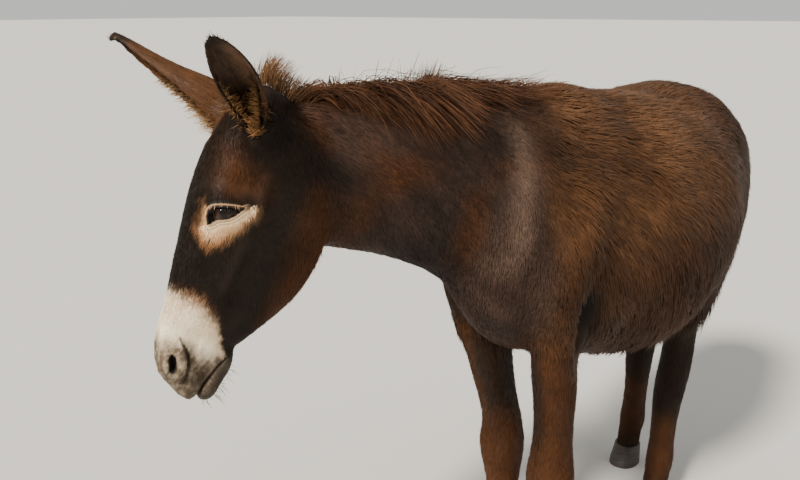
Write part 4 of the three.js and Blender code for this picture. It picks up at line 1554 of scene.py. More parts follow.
def trunk_sizes(places):
    body = in_body(places)
    low = 1 - smooth_step(0.62, 0.88, body[:, 2])
    between = smooth_step(-0.50, -0.28, body[:, 0]) * (1 - smooth_step(0.04, 0.22, body[:, 0]))
    hang, short = low * between, shortness(places)
    ahead, up = ELBOW_HOLLOW
    elbow = hump(body[:, 0] - ahead - 0.02, 0.065) * hump(body[:, 2] - up - 0.03, 0.115)
    rump = 1 - smooth_step(-0.56, -0.42, body[:, 0])
    length = (0.074 + 0.024 * hang - 0.050 * short) * (1 - 0.80 * elbow) * (1 - 0.55 * rump)
    width = 0.0024 - 0.0007 * short
    lift = TRUNK_DEPTH * (0.9 - 0.52 * short) + 0.022 * hang
    return length, width, lift * (1 - 0.5 * elbow), 0.6 + 0.6 * hang - 0.35 * short


def neck_sizes(places):
    under = 1 - smooth_step(0.90, 1.05, in_body(places)[:, 2])
    one = np.ones(len(places))
    return 0.026 + 0.008 * under, 0.0017 * one, NECK_DEPTH * (0.32 + 0.35 * under), 0.25 * one


def head_sizes(places):
    head = in_head(places)
    head[:, 2] = np.abs(head[:, 2])
    muzzle = smooth_step(0.33, 0.42, head[:, 0])
    eye = 1 - smooth_step(0.026, 0.042, np.linalg.norm(head - np.array(EYE_PLACE), axis=1))
    jaw = smooth_step(-0.13, -0.20, head[:, 1]) * (1 - muzzle)
    crown = 1 - smooth_step(0.04, 0.12, head[:, 0])
    small = np.maximum(muzzle, eye)
    length = 0.0120 * (1 - 0.60 * small) + 0.010 * jaw + 0.010 * crown
    width = 0.0015 * (1 - 0.35 * small) + 0.0003 * jaw
    lift = HEAD_DEPTH * (0.60 - 0.42 * small + 0.40 * jaw + 0.5 * crown)
    return length, width, lift, 0.3 * (1 - small)


def head_keep(places):
    """No hair grows in the eyes, nostrils or mouth, or right at their edges."""
    head = in_head(places)
    head[:, 2] = np.abs(head[:, 2])
    keep = np.ones(len(places), bool)
    near = np.nonzero(np.linalg.norm(head - np.array(EYE_PLACE), axis=1) < 0.06)[0]
    keep[near] = eye_opening(head[near])[0] < -0.0045
    mouth = np.nonzero(head[:, 0] > 0.40)[0]
    flat = head[mouth, :2]
    keep[mouth] &= (inside_by(flat, NOSTRIL) < -0.0025) | (head[mouth, 2] < 0.015)
    keep[mouth] &= (along_route(flat, NOSTRIL_FOLD)[0] > 0.0022) | (head[mouth, 2] < 0.015)
    keep[mouth] &= along_route(flat, MOUTH_LINE)[0] > 0.0030
    return keep


def leg_sizes(places):
    up = in_body(places)[:, 2]
    low = 1 - smooth_step(0.10, 0.50, up)
    fetlock = 1 - smooth_step(0.03, 0.07, np.abs(up - 0.13))
    length = 0.020 - 0.006 * low + 0.008 * fetlock
    return length, 0.0021 - 0.0005 * low, LEG_DEPTH * (0.8 - 0.25 * low + 0.3 * fetlock), 0.30 + 0 * low


def ear_sizes(places):
    tip = np.zeros(len(places))
    for name in SIDES:
        t, inside = in_ear(places, name)[0], in_ear(places, name)[5]
        tip[inside] = np.clip(t[inside], 0, 1)
    return 0.016 - 0.007 * tip, 0.0015 - 0.0004 * tip, EAR_DEPTH * (0.7 - 0.4 * tip), 0.15 + 0 * tip


def tail_sizes(places):
    one = np.ones(len(places))
    return 0.036 * one, 0.0024 * one, 0.006 * one, 0.4 * one


def round_trunk(places):
    body = in_body(places)
    return np.stack([body[:, 0], np.arctan2(body[:, 1], body[:, 2] - 0.9)], 1)


def round_neck(places):
    body = in_body(places)
    side, up = (np.interp(body[:, 0], [0.26, 0.90], ends) for ends in ((0, -0.225), (0.975, 1.14)))
    return np.stack([body[:, 0], np.arctan2(body[:, 1] - side, body[:, 2] - up)], 1)


def round_head(places):
    head = in_head(places)
    return np.stack([head[:, 0], np.arctan2(head[:, 2], head[:, 1] + 0.09)], 1)


def round_legs(places):
    """The legs side by side, each as a strip round itself."""
    body = in_body(places)
    number = (body[:, 0] < 0) * 2 + (body[:, 1] < 0)
    middle = np.where(body[:, 0] > 0, 0.32, np.where(body[:, 1] > 0, -0.37, -0.52))
    turn = np.arctan2(np.abs(body[:, 1]) - 0.095, body[:, 0] - middle)
    return np.stack([number + turn / (2.1 * math.pi), body[:, 2]], 1)


def round_ears(places):
    made = np.zeros((len(places), 2))
    for i, name in enumerate(SIDES):
        t, across, out = in_ear(places, name)[:3]
        mine = in_head(places)[:, 2] * SIDES[name] > 0
        made[mine] = np.stack([i + np.arctan2(out, across) / (2.1 * math.pi), t], 1)[mine]
    return made


def round_tail(places):
    body = in_body(places)
    return np.stack([np.arctan2(body[:, 1] - 0.01, body[:, 0] + 0.66), body[:, 2]], 1)


class Style:
    """How one region's tufts are made: their sizes, their map, the size of a lock, and the rest."""

    def __init__(
        self, material, sizes, unwrap, lock, swing=0.2, short=False, keep=None, fade=(0.8, 1, 1.12)
    ):
        self.material, self.sizes, self.unwrap, self.lock = material, sizes, unwrap, lock
        self.swing, self.short, self.keep, self.fade = swing, short, keep, fade


def make_trunk_coat(skin, forms, hair, area, body):
    style = Style(hair, trunk_sizes, round_trunk, 0.022, swing=0.15, fade=(0.80, 0.97, 1.10))
    weight = 1 + 0.9 * shortness(skin.middles)
    for end, there in (("front", body[:, 0] > -0.08), ("rear", body[:, 0] <= -0.08)):
        for side, sign in SIDES.items():
            chosen = area * there * (body[:, 1] * sign > 0) * weight
            seed = 100 + 10 * (end == "front") + sign
            coat_piece(f"coat_trunk_{side}_{end}", skin, forms, chosen, 23000, style, seed)


def make_coat(skin, forms, hair):
    areas = {name: (skin.region == i) * 1.0 for i, name in enumerate(REGIONS)}
    body, head = in_body(skin.middles), in_head(skin.middles)
    make_trunk_coat(skin, forms, hair, areas["trunk"], body)
    neck = Style(hair, neck_sizes, round_neck, 0.014, swing=0.16)
    face = Style(hair, head_sizes, round_head, 0.007, short=True, keep=head_keep, fade=(0.9, 1, 1.1))
    legs = Style(hair, leg_sizes, round_legs, 0.010, short=True)
    middle = np.interp(body[:, 0], [0.26, 0.9], [0, -0.225])
    dense = 1 + 1.5 * smooth_step(0.33, 0.40, head[:, 0])
    for side, sign in SIDES.items():
        chosen = areas["neck"] * ((body[:, 1] - middle) * sign > 0)
        coat_piece("coat_neck_" + side, skin, forms, chosen, 20000, neck, 200 + sign)
        chosen = areas["head"] * (head[:, 2] * sign > 0) * dense
        coat_piece("coat_head_" + side, skin, forms, chosen, 28000, face, 300 + sign)
    for i, (end, there) in enumerate((("fore", body[:, 0] > -0.1), ("hind", body[:, 0] <= -0.1))):
        chosen = areas["legs"] * there * (body[:, 2] > 0.058)
        coat_piece(f"coat_{end}legs", skin, forms, chosen, 20000, legs, 400 + 7 * i)
    ears = Style(hair, ear_sizes, round_ears, 0.006, swing=0.08, short=True, fade=(0.8, 1, 1.15))
    coat_piece("coat_ears", skin, forms, areas["ears"], 14000, ears, 500)
    tail = Style(hair, tail_sizes, round_tail, 0.012)
    coat_piece("coat_tail", skin, forms, areas["tail"], 3500, tail, 600)


# Long hair ----------------------------------------------------------------------------------


def long_hair(name, paths, width, sides, colour, places, material, facing=None, tips=1.3):
    steps = paths.shape[1]
    taper = np.interp(np.linspace(0, 1, steps), [0, 0.15, 0.5, 1], [0.7, 1, 0.85, 0.25])
    widths = width[:, None] * taper
    colours = colour[:, None] * np.array([0.6, 1.0, tips])[None, :, None]
    mesh = tuft_mesh(name, paths, widths, sides, colours, to_square(places), 0.6, facing)
    return add_piece(name, mesh, material)


# The crest of the neck, from the poll to the withers.
CREST = [
    (0.898, -0.212, 1.262),
    (0.850, -0.200, 1.262),
    (0.770, -0.166, 1.252),
    (0.690, -0.128, 1.240),
    (0.600, -0.090, 1.228),
    (0.520, -0.058, 1.222),
    (0.440, -0.028, 1.234),
    (0.370, -0.008, 1.240),
    (0.310, 0.000, 1.244),
    (0.240, 0.000, 1.246),
]


def crest_point(share):
    """The place forward, left and up at a share of the way along the crest."""
    rows = smooth_rows(CREST, 0.01)
    t = share * (len(rows) - 1)
    return np.stack([np.interp(t, np.arange(len(rows)), rows[:, i]) for i in range(3)], 1)


# How the mane lies along the crest: place forward, length, and which way its locks point at the
# root and at the tip, as up, left and back.
MANE_LIE = [
    (0.900, 0.050, (1.00, 0.05, -0.05), (1.00, 0.15, 0.10)),
    (0.850, 0.055, (1.00, 0.20, 0.25), (0.65, 0.45, 0.55)),
    (0.800, 0.085, (0.80, 0.70, 0.45), (-0.70, 0.50, 0.60)),
    (0.740, 0.155, (0.50, 0.90, 0.45), (-1.00, 0.45, 0.62)),
    (0.660, 0.175, (0.45, 0.90, 0.50), (-1.00, 0.42, 0.80)),
    (0.610, 0.140, (0.80, 0.50, 0.70), (-0.45, 0.35, 1.00)),
    (0.520, 0.145, (0.75, 0.40, 0.85), (-0.30, 0.32, 1.00)),
    (0.430, 0.115, (0.35, 0.30, 1.00), (-0.22, 0.22, 1.00)),
    (0.340, 0.065, (0.15, 0.20, 1.00), (-0.15, 0.10, 1.00)),
    (0.240, 0.035, (0.10, 0.10, 1.00), (-0.10, 0.08, 1.00)),
]


def mane_lie(forward):
    """The length of the mane at each place, and its ways at the root and the tip."""
    rows = np.array([[row[0], row[1], *row[2], *row[3]] for row in MANE_LIE])[::-1]
    found = np.stack([np.interp(forward, rows[:, 0], rows[:, i]) for i in range(1, 8)], 1)
    return found[:, 0], found[:, 1:4], found[:, 4:7]


def make_mane(forms, hair):
    """Locks that stand at the poll, fall to the near side along the neck and sweep back behind."""
    rng = np.random.default_rng(700)
    steps, locks = 7, 70
    share = np.sort(rng.random(7600))
    share = share[(share > 0.13) | (rng.random(len(share)) < 0.85)]
    share = share[rng.random(len(share)) < smooth_step(0.93, 0.70, share) + 0.02]
    found = crest_point(share)
    count = len(share)
    spread = rng.normal(size=count) * 0.009
    base = ORIGIN + np.stack([found[:, 1] + spread, -found[:, 0], found[:, 2]], 1)
    for _ in range(9):
        base[:, 2] -= distance_to(forms, base)
    lock = np.clip(np.floor(share * 60 + 0.9 * rng.random(count)).astype(int), 0, locks - 1)
    middles = np.stack([np.bincount(lock, base[:, i], locks) for i in range(3)], 1)
    middles = middles / np.maximum(np.bincount(lock, minlength=locks), 1)[:, None]
    own = rng.random((6, locks))[:, lock]
    length, start, end = mane_lie(found[:, 0])
    end = end + np.stack([0.35 * (own[0] - 0.5), 0.5 * (own[1] - 0.5), 0.5 * (own[2] - 0.5)], 1)
    loose = 0.20 * rng.normal(size=(count, 3))
    wisp = (rng.random(count) < 0.003) | ((np.abs(found[:, 0] - 0.615) < 0.014) & (rng.random(count) < 0.5))
    end = np.where(wisp[:, None], np.array([0.9, 0.15, 0.5]), end)
    far = (rng.random(count) < 0.16) & (found[:, 0] < 0.86)
    flip = np.where(far[:, None], np.array([1, -1, 1]), 1)
    start, end = unit(start * flip + loose), unit(end * flip + loose * 0.7)
    length = length * (0.72 + 0.40 * own[3] + 0.22 * rng.random(count)) * np.where(wisp, 0.55, 1)
    paths = np.empty((count, steps, 3))
    paths[:, 0] = base - UP * 0.003
    room = 0.001 + 0.013 * rng.random(count) ** 2
    for k in range(1, steps):
        share_end = smooth_step(0.0, 0.75, np.array([(k - 0.5) / (steps - 1)]))[0]
        lie = unit(start * (1 - share_end) + end * share_end)
        heading = UP * lie[:, :1] + LEFT * lie[:, 1:2] - FORWARD * lie[:, 2:]
        paths[:, k] = paths[:, k - 1] + heading * (length / (steps - 1))[:, None]
        paths[:, k] += (middles[lock] - base) * (0.75 / (steps - 1) * (found[:, 0] < 0.84))[:, None]
        away = distance_to(forms, paths[:, k])
        out = unit(LEFT * np.sign(lie[:, 1:2]) + UP * 0.7)
        paths[:, k] += out * np.clip(room - away, 0, 0.05)[:, None]
    sides = unit(FORWARD + 0.4 * rng.normal(size=(count, 3)))
    width = 0.0016 * (0.6 + 0.8 * rng.random(count)) * np.where(found[:, 0] > 0.83, 0.6, 1)
    dark = 0.12 + 0.80 * own[4] ** 1.3 + 0.25 * rng.normal(size=count)
    dark = dark * smooth_step(0.30, 0.50, found[:, 0])
    shade = mix(MANE_RED, MANE_DARK[None], dark)
    shade = mix(shade, MANE_GOLD[None], 0.7 * smooth_step(0.82, 0.87, found[:, 0]) * rng.random(count))
    facing = unit(LEFT * np.where(far, -1, 1)[:, None] + UP * 0.9)
    places = np.stack([share, spread], 1)
    piece = long_hair("coat_mane", paths, width, sides, shade, places, hair, facing)
    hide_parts("mane")


TAIL_LINE = [
    (-0.668, 0.012, 0.740, 0.020),
    (-0.664, 0.012, 0.660, 0.026),
    (-0.661, 0.012, 0.600, 0.029),
    (-0.658, 0.011, 0.520, 0.031),
    (-0.654, 0.010, 0.440, 0.027),
    (-0.650, 0.009, 0.392, 0.017),
    (-0.648, 0.009, 0.362, 0.005),
]


def make_tail_tuft(hair):
    """The long hair at the end of the tail, which hangs in locks."""
    rng = np.random.default_rng(800)
    count, steps = 1500, 7
    rows = smooth_rows(TAIL_LINE, 0.02)
    start = rng.random(count) ** 1.4 * 0.42
    end = np.clip(start + 0.40 + 0.30 * rng.random(count), 0, 1)
    turn = rng.random(count) * 2 * math.pi
    reach = 0.30 + 0.62 * rng.random(count)
    paths = np.empty((count, steps, 3))
    for k in range(steps):
        share = start + (end - start) * k / (steps - 1)
        t = share * (len(rows) - 1)
        row = np.stack([np.interp(t, np.arange(len(rows)), rows[:, i]) for i in range(4)], 1)
        wave = turn + 0.25 * np.sin(6 * share + 5 * turn)
        spread = row[:, 3] * reach * (0.55 if k == 0 else 1)
        forward = row[:, 0] + spread * np.cos(wave)
        left = row[:, 1] + spread * np.sin(wave)
        paths[:, k] = ORIGIN + np.stack([left, -forward, row[:, 2]], 1)
    sides = np.stack([np.cos(turn), np.sin(turn), 0 * turn], 1)
    shade = mix(LEG_DARK, MANE_RED[None], 0.25 + 0.3 * rng.normal(size=count))
    width = 0.0034 * (0.6 + 0.8 * rng.random(count))
    places = np.stack([turn, start], 1)
    facing = np.stack([np.sin(turn), -np.cos(turn), 0 * turn], 1)
    piece = long_hair("coat_tail_tuft", paths, width, sides, shade, places, hair, facing)
    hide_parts("tail_tuft")


def ear_place(name, t, turn, inner):
    """Places on an ear's surface: t of the way along, at an angle round it."""
    _, _, across, facing = ear_axes(name)
    half, thick = ear_section(name, t)
    wall = np.where(inner, np.minimum(EAR_WALL, 0.35 * thick), 0)
    side, out = (half - wall) * np.cos(turn), (thick - wall) * np.sin(turn)
    return ear_middle(name, t) + across * side[:, None] + facing * out[:, None]


def make_ear_hair(hair):
    """Longer pale hair inside the ears and along their rims, and golden hair at their roots."""
    rng = np.random.default_rng(900)
    groups = []
    for name in SIDES:
        _, along, across, facing = ear_axes(name)
        for edge in (1, -1):
            fringe = name == "right" and edge < 0
            count = 620 if fringe else 260
            t = 0.04 + (0.58 if fringe else 0.46) * rng.random(count) ** 1.3
            rim = ear_rim(t) - 0.10 * rng.random(count)
            rim = rim - (0.30 + 0.30 * rng.random(count)) * fringe
            turn = rim if edge > 0 else math.pi - rim
            base = ear_place(name, t, turn, True)
            inwards = -across * edge * (0.1 if fringe else 1)
            length = (0.040 if fringe else 0.030) * (1 - 0.9 * t) * (0.6 + 0.7 * rng.random(count))
            heading = along * 0.8 + inwards * (0.30 + 0.35 * rng.random(count))[:, None]
            heading = heading + facing * (0.9 if fringe else 0.25)
            groups.append((base, heading, length, t, edge + 5 * fringe))
        count = 420
        t = 0.02 + 0.24 * rng.random(count)
        turn = -math.pi * rng.random(count)
        base = ear_place(name, t, turn, True)
        heading = along * 0.75 + facing * (0.5 + 0.3 * rng.random(count))[:, None]
        heading = heading + across * (0.25 * rng.normal(size=count))[:, None]
        groups.append((base, heading, 0.034 * (0.6 + 0.6 * rng.random(count)), t, 0))
    sizes = [len(group[0]) for group in groups]
    base, heading, length, t = (np.concatenate([group[i] for group in groups]) for i in range(4))
    edge = np.repeat([group[4] for group in groups], sizes)
    fringes = edge > 2
    heading = unit(heading + 0.12 * rng.normal(size=heading.shape))
    count, steps = len(base), 4
    paths = np.empty((count, steps, 3))
    for k in range(steps):
        share = k / (steps - 1)
        curl = 0.15 * share**2 * rng.normal(size=(count, 3))
        paths[:, k] = base + (heading + 0.6 * curl) * (length * share)[:, None]
    sides = unit(np.cross(heading, rng.normal(size=(count, 3))))
    pale = smooth_step(0.22, 0.60, t) * ~(fringes & (t < 0.62))
    shade = mix(EAR_HAIR, EAR_DARK[None], 0.12 + 0.9 * pale + 0.22 * rng.normal(size=count))
    shade = mix(shade, FRINGE_PALE[None], 0.65 * fringes * rng.random(count))
    width = 0.0016 * (0.6 + 0.7 * rng.random(count))
    places = np.stack([t + 2 * (edge > 0), length], 1)
    long_hair("coat_ear_hair", paths, width, sides, shade, places, hair, tips=1.35)


def lid_line(line, share):
    """Places along a lid's edge, in the head's measures, on the eyeball."""
    rows = smooth_rows(line, 0.002)
    t = share * (len(rows) - 1)
    u, v = (np.interp(t, np.arange(len(rows)), rows[:, i]) for i in range(2))
    turn = np.array([math.cos(LID_TURN), math.sin(LID_TURN)])
    back, down = turn[0] * u - turn[1] * v, turn[1] * u + turn[0] * v
    along, rise = LID_MIDDLE[0] + down, LID_MIDDLE[1] - back
    off = (along - EYE_PLACE[0]) ** 2 + (rise - EYE_PLACE[1]) ** 2
    radius = EYE_RADIUS + LID_THICKNESS
    out = EYE_PLACE[2] + np.sqrt(np.maximum(radius**2 - off, 0.3 * radius**2))
    return along, rise, out


def make_lashes(material):
    rng = np.random.default_rng(950)
    all_paths, all_sides = [], []
    for side in SIDES.values():
        count, steps = 110, 5
        share = 0.12 + 0.80 * rng.random(count)
        base = np.stack(lid_line(UPPER_LID, share), 1)
        length = 0.017 * (0.6 + 0.5 * rng.random(count)) * (0.6 + 0.8 * np.sin(math.pi * share))
        paths = np.empty((count, steps, 3))
        fan = (share - 0.5)[:, None] * np.array([0.0, -0.9, 0.0])
        for k in range(steps):
            s = k / (steps - 1)
            way_out = np.array([0.55 - 0.1 * s, 0.0, 0.80 - 1.0 * s]) + fan
            paths[:, k] = base if k == 0 else paths[:, k - 1] + way_out * (length / (steps - 1))[:, None]
        paths += 0.0006 * rng.normal(size=(count, 1, 3))
        paths[:, :, 2] *= side
        all_paths.append(POLL_POINT + paths @ HEAD)
        all_sides.append(np.repeat(HEAD[1][None], count, 0))
    paths, sides = np.concatenate(all_paths), np.concatenate(all_sides)
    count = len(paths)
    shade = np.repeat(LID_DARK[None], count, 0)
    places = np.stack([np.arange(count) / count, np.tile([0.2, 0.8], count // 2)], 1)
    width = np.full(count, 0.0008)
    long_hair("lashes", paths, width, sides, shade, places, material, tips=1)


def make_whiskers(material):
    """Fine feelers on the chin and lips."""
    rng = np.random.default_rng(970)
    count, steps = 90, 4
    turn = rng.uniform(-1.2, 1.2, count)
    along = rng.uniform(0.45, 0.525, count)
    base = POLL_POINT + np.stack([along, -0.125 - 0 * turn, 0.03 * np.sin(turn)], 1) @ HEAD
    heading = np.stack([0.3 + 0 * turn, -0.8 * np.cos(turn), 0.9 * np.sin(turn)], 1)
    heading = unit(heading + 0.2 * rng.normal(size=heading.shape)) @ HEAD
    forms = face_forms() + [head_form()]
    for _ in range(8):
        base += heading * np.clip(-distance_to(forms, base), -0.02, 0.02)[:, None]
    length = 0.020 * (0.5 + rng.random(count))
    shares = np.linspace(0, 1, steps)
    paths = np.stack([base + heading * (length * share - 0.001)[:, None] for share in shares], 1)
    paths[:, :, 2] -= 0.004 * shares**2
    sides = HEAD[0] + 0 * base
    shade = np.repeat(LIP_GREY[None] * 0.6, count, 0)
    places = np.stack([turn, along], 1)
    width = np.full(count, 0.0007)
    long_hair("whiskers", paths, width, sides, shade, places, material, tips=1)


# Eyes and hooves ----------------------------------------------------------------------------


def make_eyes(material):
    """Brown eyes with a level oval pupil, under half-closed lids."""
    for name, side in SIDES.items():
        rows, columns = 40, 64
        polar = np.linspace(0, math.pi, rows + 1)[1:-1]
        round_it = np.linspace(0, 2 * math.pi, columns, endpoint=False)
        gaze = np.array([0.10, 0.16, 0.98])
        level = np.array([-0.66, 0.75, 0.0])
        gaze = gaze / np.linalg.norm(gaze)
        level = unit(level - gaze * (level @ gaze))
        steep = np.cross(gaze, level)
        bulge = EYE_RADIUS - 0.0006 + 0.0012 * (1 - smooth_step(0.35, 0.62, polar))
        ring = np.stack([np.outer(np.sin(polar), turned(round_it)) for turned in (np.cos, np.sin)], 2)
        flat = ring * bulge[:, None, None]
        depth = (np.cos(polar) * bulge)[:, None] * np.ones(columns)
        local = flat[:, :, :1] * level + flat[:, :, 1:] * steep + depth[:, :, None] * gaze
        local = np.concatenate([[gaze * bulge[0]], local.reshape(-1, 3), [-gaze * (EYE_RADIUS - 0.0006)]])
        across, high = local @ level / EYE_RADIUS, local @ steep / EYE_RADIUS
        front = local @ gaze > 0
        pupil = np.sqrt((across / 0.36) ** 2 + (high / 0.17) ** 2)
        iris = np.hypot(across, high) / 0.60
        colours = mix(tone(10, 8, 7), tone(46, 29, 18)[None], smooth_step(0.9, 1.5, pupil))
        colours = mix(colours, tone(26, 18, 14), smooth_step(0.85, 1.0, iris))
        colours = mix(colours, tone(70, 55, 46), smooth_step(1.05, 1.30, iris))
        colours[~front] = tone(70, 55, 46)
        faces = [(0, 1 + j, 1 + (j + 1) % columns) for j in range(columns)]
        last = len(local) - 1
        for i in range(rows - 2):
            for j in range(columns):
                a, b = 1 + i * columns + j, 1 + i * columns + (j + 1) % columns
                faces.append((a, a + columns, b + columns, b))
        faces += [(last, last - columns + (j + 1) % columns, last - columns + j) for j in range(columns)]
        local[:, 2] *= side
        if side < 0:
            faces = [face[::-1] for face in faces]
        mesh = bpy.data.meshes.new("eyeball_" + name)
        mesh.from_pydata((eye_place(side) + local @ HEAD).tolist(), [], faces)
        mesh.shade_smooth()
        paint(mesh, colours)
        piece = add_piece("eyeball_" + name, mesh, material)
        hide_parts("eye_" + name)


def hoof_rows(forward, left, size):
    return [
        (forward + 0.012, left, 0.0, 0.0460 * size, 0.0580 * size, 0.046 * size),
        (forward + 0.011, left, 0.006, 0.0460 * size, 0.0570 * size, 0.046 * size),
        (forward + 0.002, left, HOOF_TOP - 0.020, 0.0420 * size, 0.046 * size, 0.042 * size),
        (forward - 0.003, left, HOOF_TOP - 0.002, 0.0400 * size, 0.041 * size, 0.039 * size),
    ]


def make_hooves(material):
    """Upright horny hooves, ringed by growth, flat underneath."""
    for end, places, backs, size in (("fore", FORE, FORE_BACK, 1), ("hind", HIND, None, 0.95)):
        for name, side in SIDES.items():
            forward, left = places[name]
            forward += FORE_BACK[name] + 0.026 if backs else 0.060
            rows = smooth_rows(hoof_rows(forward, side * left, size), 0.0022)
            columns = 72
            turn = np.linspace(0, 2 * math.pi, columns, endpoint=False)
            lean, swing = np.cos(turn), np.sin(turn)
            e = 2 / 2.3
            points = []
            for n, (f, l, u, half, over, under) in enumerate(rows):
                rings = 0.0005 * math.sin(u * 900) + 0.0003 * math.sin(u * 2100 + 1)
                rings -= 0.0012 if n == 0 else 0
                ahead = np.sign(lean) * np.abs(lean) ** e * (np.where(lean > 0, over, under) + rings)
                aside = np.sign(swing) * np.abs(swing) ** e * (half + rings)
                cleft = 0.004 * hump(turn - math.pi, 0.30) * (1 - u / HOOF_TOP)
                ahead = ahead + cleft
                points.append(np.stack([l + aside + 0 * turn, -(f + ahead), u + 0 * turn], 1))
            points = ORIGIN + np.concatenate(points)
            ends = [ring.mean(0)[None] for ring in (points[:columns], points[-columns:])]
            points = np.concatenate([points, *ends])
            faces = []
            for i in range(len(rows) - 1):
                for j in range(columns):
                    a, b = i * columns + j, i * columns + (j + 1) % columns
                    faces.append((a, b, b + columns, a + columns))
            top = (len(rows) - 1) * columns
            for j in range(columns):
                k = (j + 1) % columns
                faces.append((len(points) - 2, k, j))
                faces.append((len(points) - 1, top + j, top + k))
            mesh = bpy.data.meshes.new(f"horn_{end}_{name}")
            mesh.from_pydata(points.tolist(), [], faces)
            mesh.shade_smooth()
            piece = add_piece(f"horn_{end}_{name}", mesh, material)
            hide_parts(f"hoof_{end}_{name}")


# Materials ----------------------------------------------------------------------------------


def new_material(name, roughness, specular=0.5):
    material = bpy.data.materials.new(name)
    material.use_nodes = True
    nodes, links = material.node_tree.nodes, material.node_tree.links
    shader = nodes["Principled BSDF"]
    shader.inputs["Roughness"].default_value = roughness
    shader.inputs["Specular IOR Level"].default_value = specular
    return material, nodes, links, shader


def noise_node(nodes, links, scale, stretch=(1, 1, 1), detail=4):
    place = nodes.new("ShaderNodeTexCoord")
    mapping = nodes.new("ShaderNodeMapping")
    mapping.inputs["Scale"].default_value = stretch
    texture = nodes.new("ShaderNodeTexNoise")
    texture.inputs["Scale"].default_value = scale
    texture.inputs["Detail"].default_value = detail
    links.new(place.outputs["Object"], mapping.inputs["Vector"])
    links.new(mapping.outputs["Vector"], texture.inputs["Vector"])
    return texture.outputs["Fac"]


def varied(nodes, links, base, factor, dark, light):
    """The base colour made darker and lighter by a factor that varies over the surface."""
    ramp = nodes.new("ShaderNodeMapRange")
    ramp.inputs["From Min"].default_value = 0.3
    ramp.inputs["From Max"].default_value = 0.7
    ramp.inputs["To Min"].default_value = dark
    ramp.inputs["To Max"].default_value = light
    scaled = nodes.new("ShaderNodeVectorMath")
    scaled.operation = "SCALE"
    links.new(factor, ramp.inputs["Value"])
    links.new(base, scaled.inputs[0])
    links.new(ramp.outputs["Result"], scaled.inputs["Scale"])
    return scaled.outputs["Vector"]


def add_bump(nodes, links, shader, height, strength, distance):
    bump = nodes.new("ShaderNodeBump")
    bump.inputs["Strength"].default_value = strength
    bump.inputs["Distance"].default_value = distance
    links.new(height, bump.inputs["Height"])
    links.new(bump.outputs["Normal"], shader.inputs["Normal"])


def painted_material(name, roughness, dark, light, scale, bump):
    """A material in the mesh's own colours, varied and roughened by noise."""
    material, nodes, links, shader = new_material(name, roughness, 0.14)
    colour = nodes.new("ShaderNodeVertexColor")
    colour.layer_name = "coat_colour"
    grain = noise_node(nodes, links, scale)
    shade = varied(nodes, links, colour.outputs["Color"], grain, dark, light)
    links.new(shade, shader.inputs["Base Color"])
    if bump:
        add_bump(nodes, links, shader, grain, 0.6, bump)
    return material


def eye_material():
    material = painted_material("wet_eye", 0.25, 0.8, 1.2, 900, 0)
    shader = material.node_tree.nodes["Principled BSDF"]
    shader.inputs["Coat Weight"].default_value = 0.30
    shader.inputs["Coat Roughness"].default_value = 0.03
    return material


def horn_material():
    material, nodes, links, shader = new_material("hoof_horn", 0.55)
    colour = nodes.new("ShaderNodeRGB")
    colour.outputs[0].default_value = (*tone(62, 54, 46), 1)
    rings = noise_node(nodes, links, 26, (1, 1, 9))
    links.new(varied(nodes, links, colour.outputs[0], rings, 0.55, 1.35), shader.inputs["Base Color"])
    add_bump(nodes, links, shader, rings, 0.5, 0.0006)
    return material


def flat_material(name, colour, roughness):
    material, _, _, shader = new_material(name, roughness)
    shader.inputs["Base Color"].default_value = (*colour, 1)
    return material


# Assembly -----------------------------------------------------------------------------------


def add_skin(mesh, skin, material):
    paint(mesh, coat_colours(skin.points, skin.normals, skin.shares) * 0.82)
    piece = add_piece("skin", mesh, material)
    apart = ("eye", "hoof", "mane", "tail_tuft")
    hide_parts(*[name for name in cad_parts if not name.startswith(apart)])


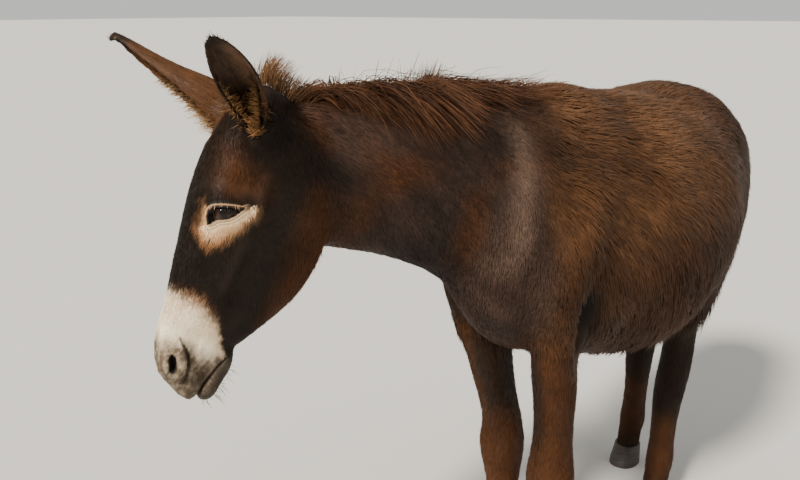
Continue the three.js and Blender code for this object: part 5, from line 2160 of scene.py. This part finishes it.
def add_camera():
    camera = bpy.data.cameras.new("camera")
    camera.lens, camera.sensor_width = 39.78, 36
    view = bpy.data.objects.new("camera", camera)
    bpy.context.scene.collection.objects.link(view)
    turn, drop = math.radians(37.93), math.radians(14.82)
    back = Vector((math.sin(turn) * math.cos(drop), -math.cos(turn) * math.cos(drop), math.sin(drop)))
    view.location = at(1.957, 0.919, 1.408)
    view.rotation_mode = "QUATERNION"
    view.rotation_quaternion = (-back).to_track_quat("-Z", "Y")
    bpy.context.scene.camera = view


def add_sun(name, toward, strength, spread, colour):
    lamp = bpy.data.lights.new(name, "SUN")
    lamp.energy, lamp.angle, lamp.color = strength, math.radians(spread), colour
    light = bpy.data.objects.new(name, lamp)
    bpy.context.scene.collection.objects.link(light)
    light.rotation_mode = "QUATERNION"
    light.rotation_quaternion = Vector(toward).to_track_quat("Z", "Y")


def add_studio():
    mesh = bpy.data.meshes.new("studio_floor")
    reach = 90
    corners = [(-reach, -reach, 0), (reach, -reach, 0), (reach, reach, 0), (-reach, reach, 0)]
    mesh.from_pydata(corners, [], [(0, 1, 2, 3)])
    mesh.materials.append(flat_material("studio_floor", tone(203, 200, 194), 0.9))
    floor = bpy.data.objects.new("studio_floor", mesh)
    bpy.context.scene.collection.objects.link(floor)
    world = bpy.data.worlds.new("studio")
    world.use_nodes = True
    sky = world.node_tree.nodes["Background"]
    sky.inputs["Color"].default_value = (0.88, 0.875, 0.86, 1)
    sky.inputs["Strength"].default_value = 0.78
    bpy.context.scene.world = world
    add_sun("key", (0.06, -0.76, 0.65), 6.6, 9, (1.0, 0.95, 0.87))


def build():
    forms = donkey_forms()
    mesh = skin_mesh()
    skin = Skin(mesh)
    hair = painted_material("hair", 0.50, 0.85, 1.15, 260, 0)
    add_skin(mesh, skin, painted_material("skin", 0.62, 0.75, 1.2, 420, 0.0006))
    make_coat(skin, forms, hair)
    make_mane(forms, hair)
    make_tail_tuft(hair)
    make_ear_hair(hair)
    make_lashes(hair)
    make_whiskers(hair)
    make_eyes(eye_material())
    make_hooves(horn_material())


build()
add_camera()
add_studio()
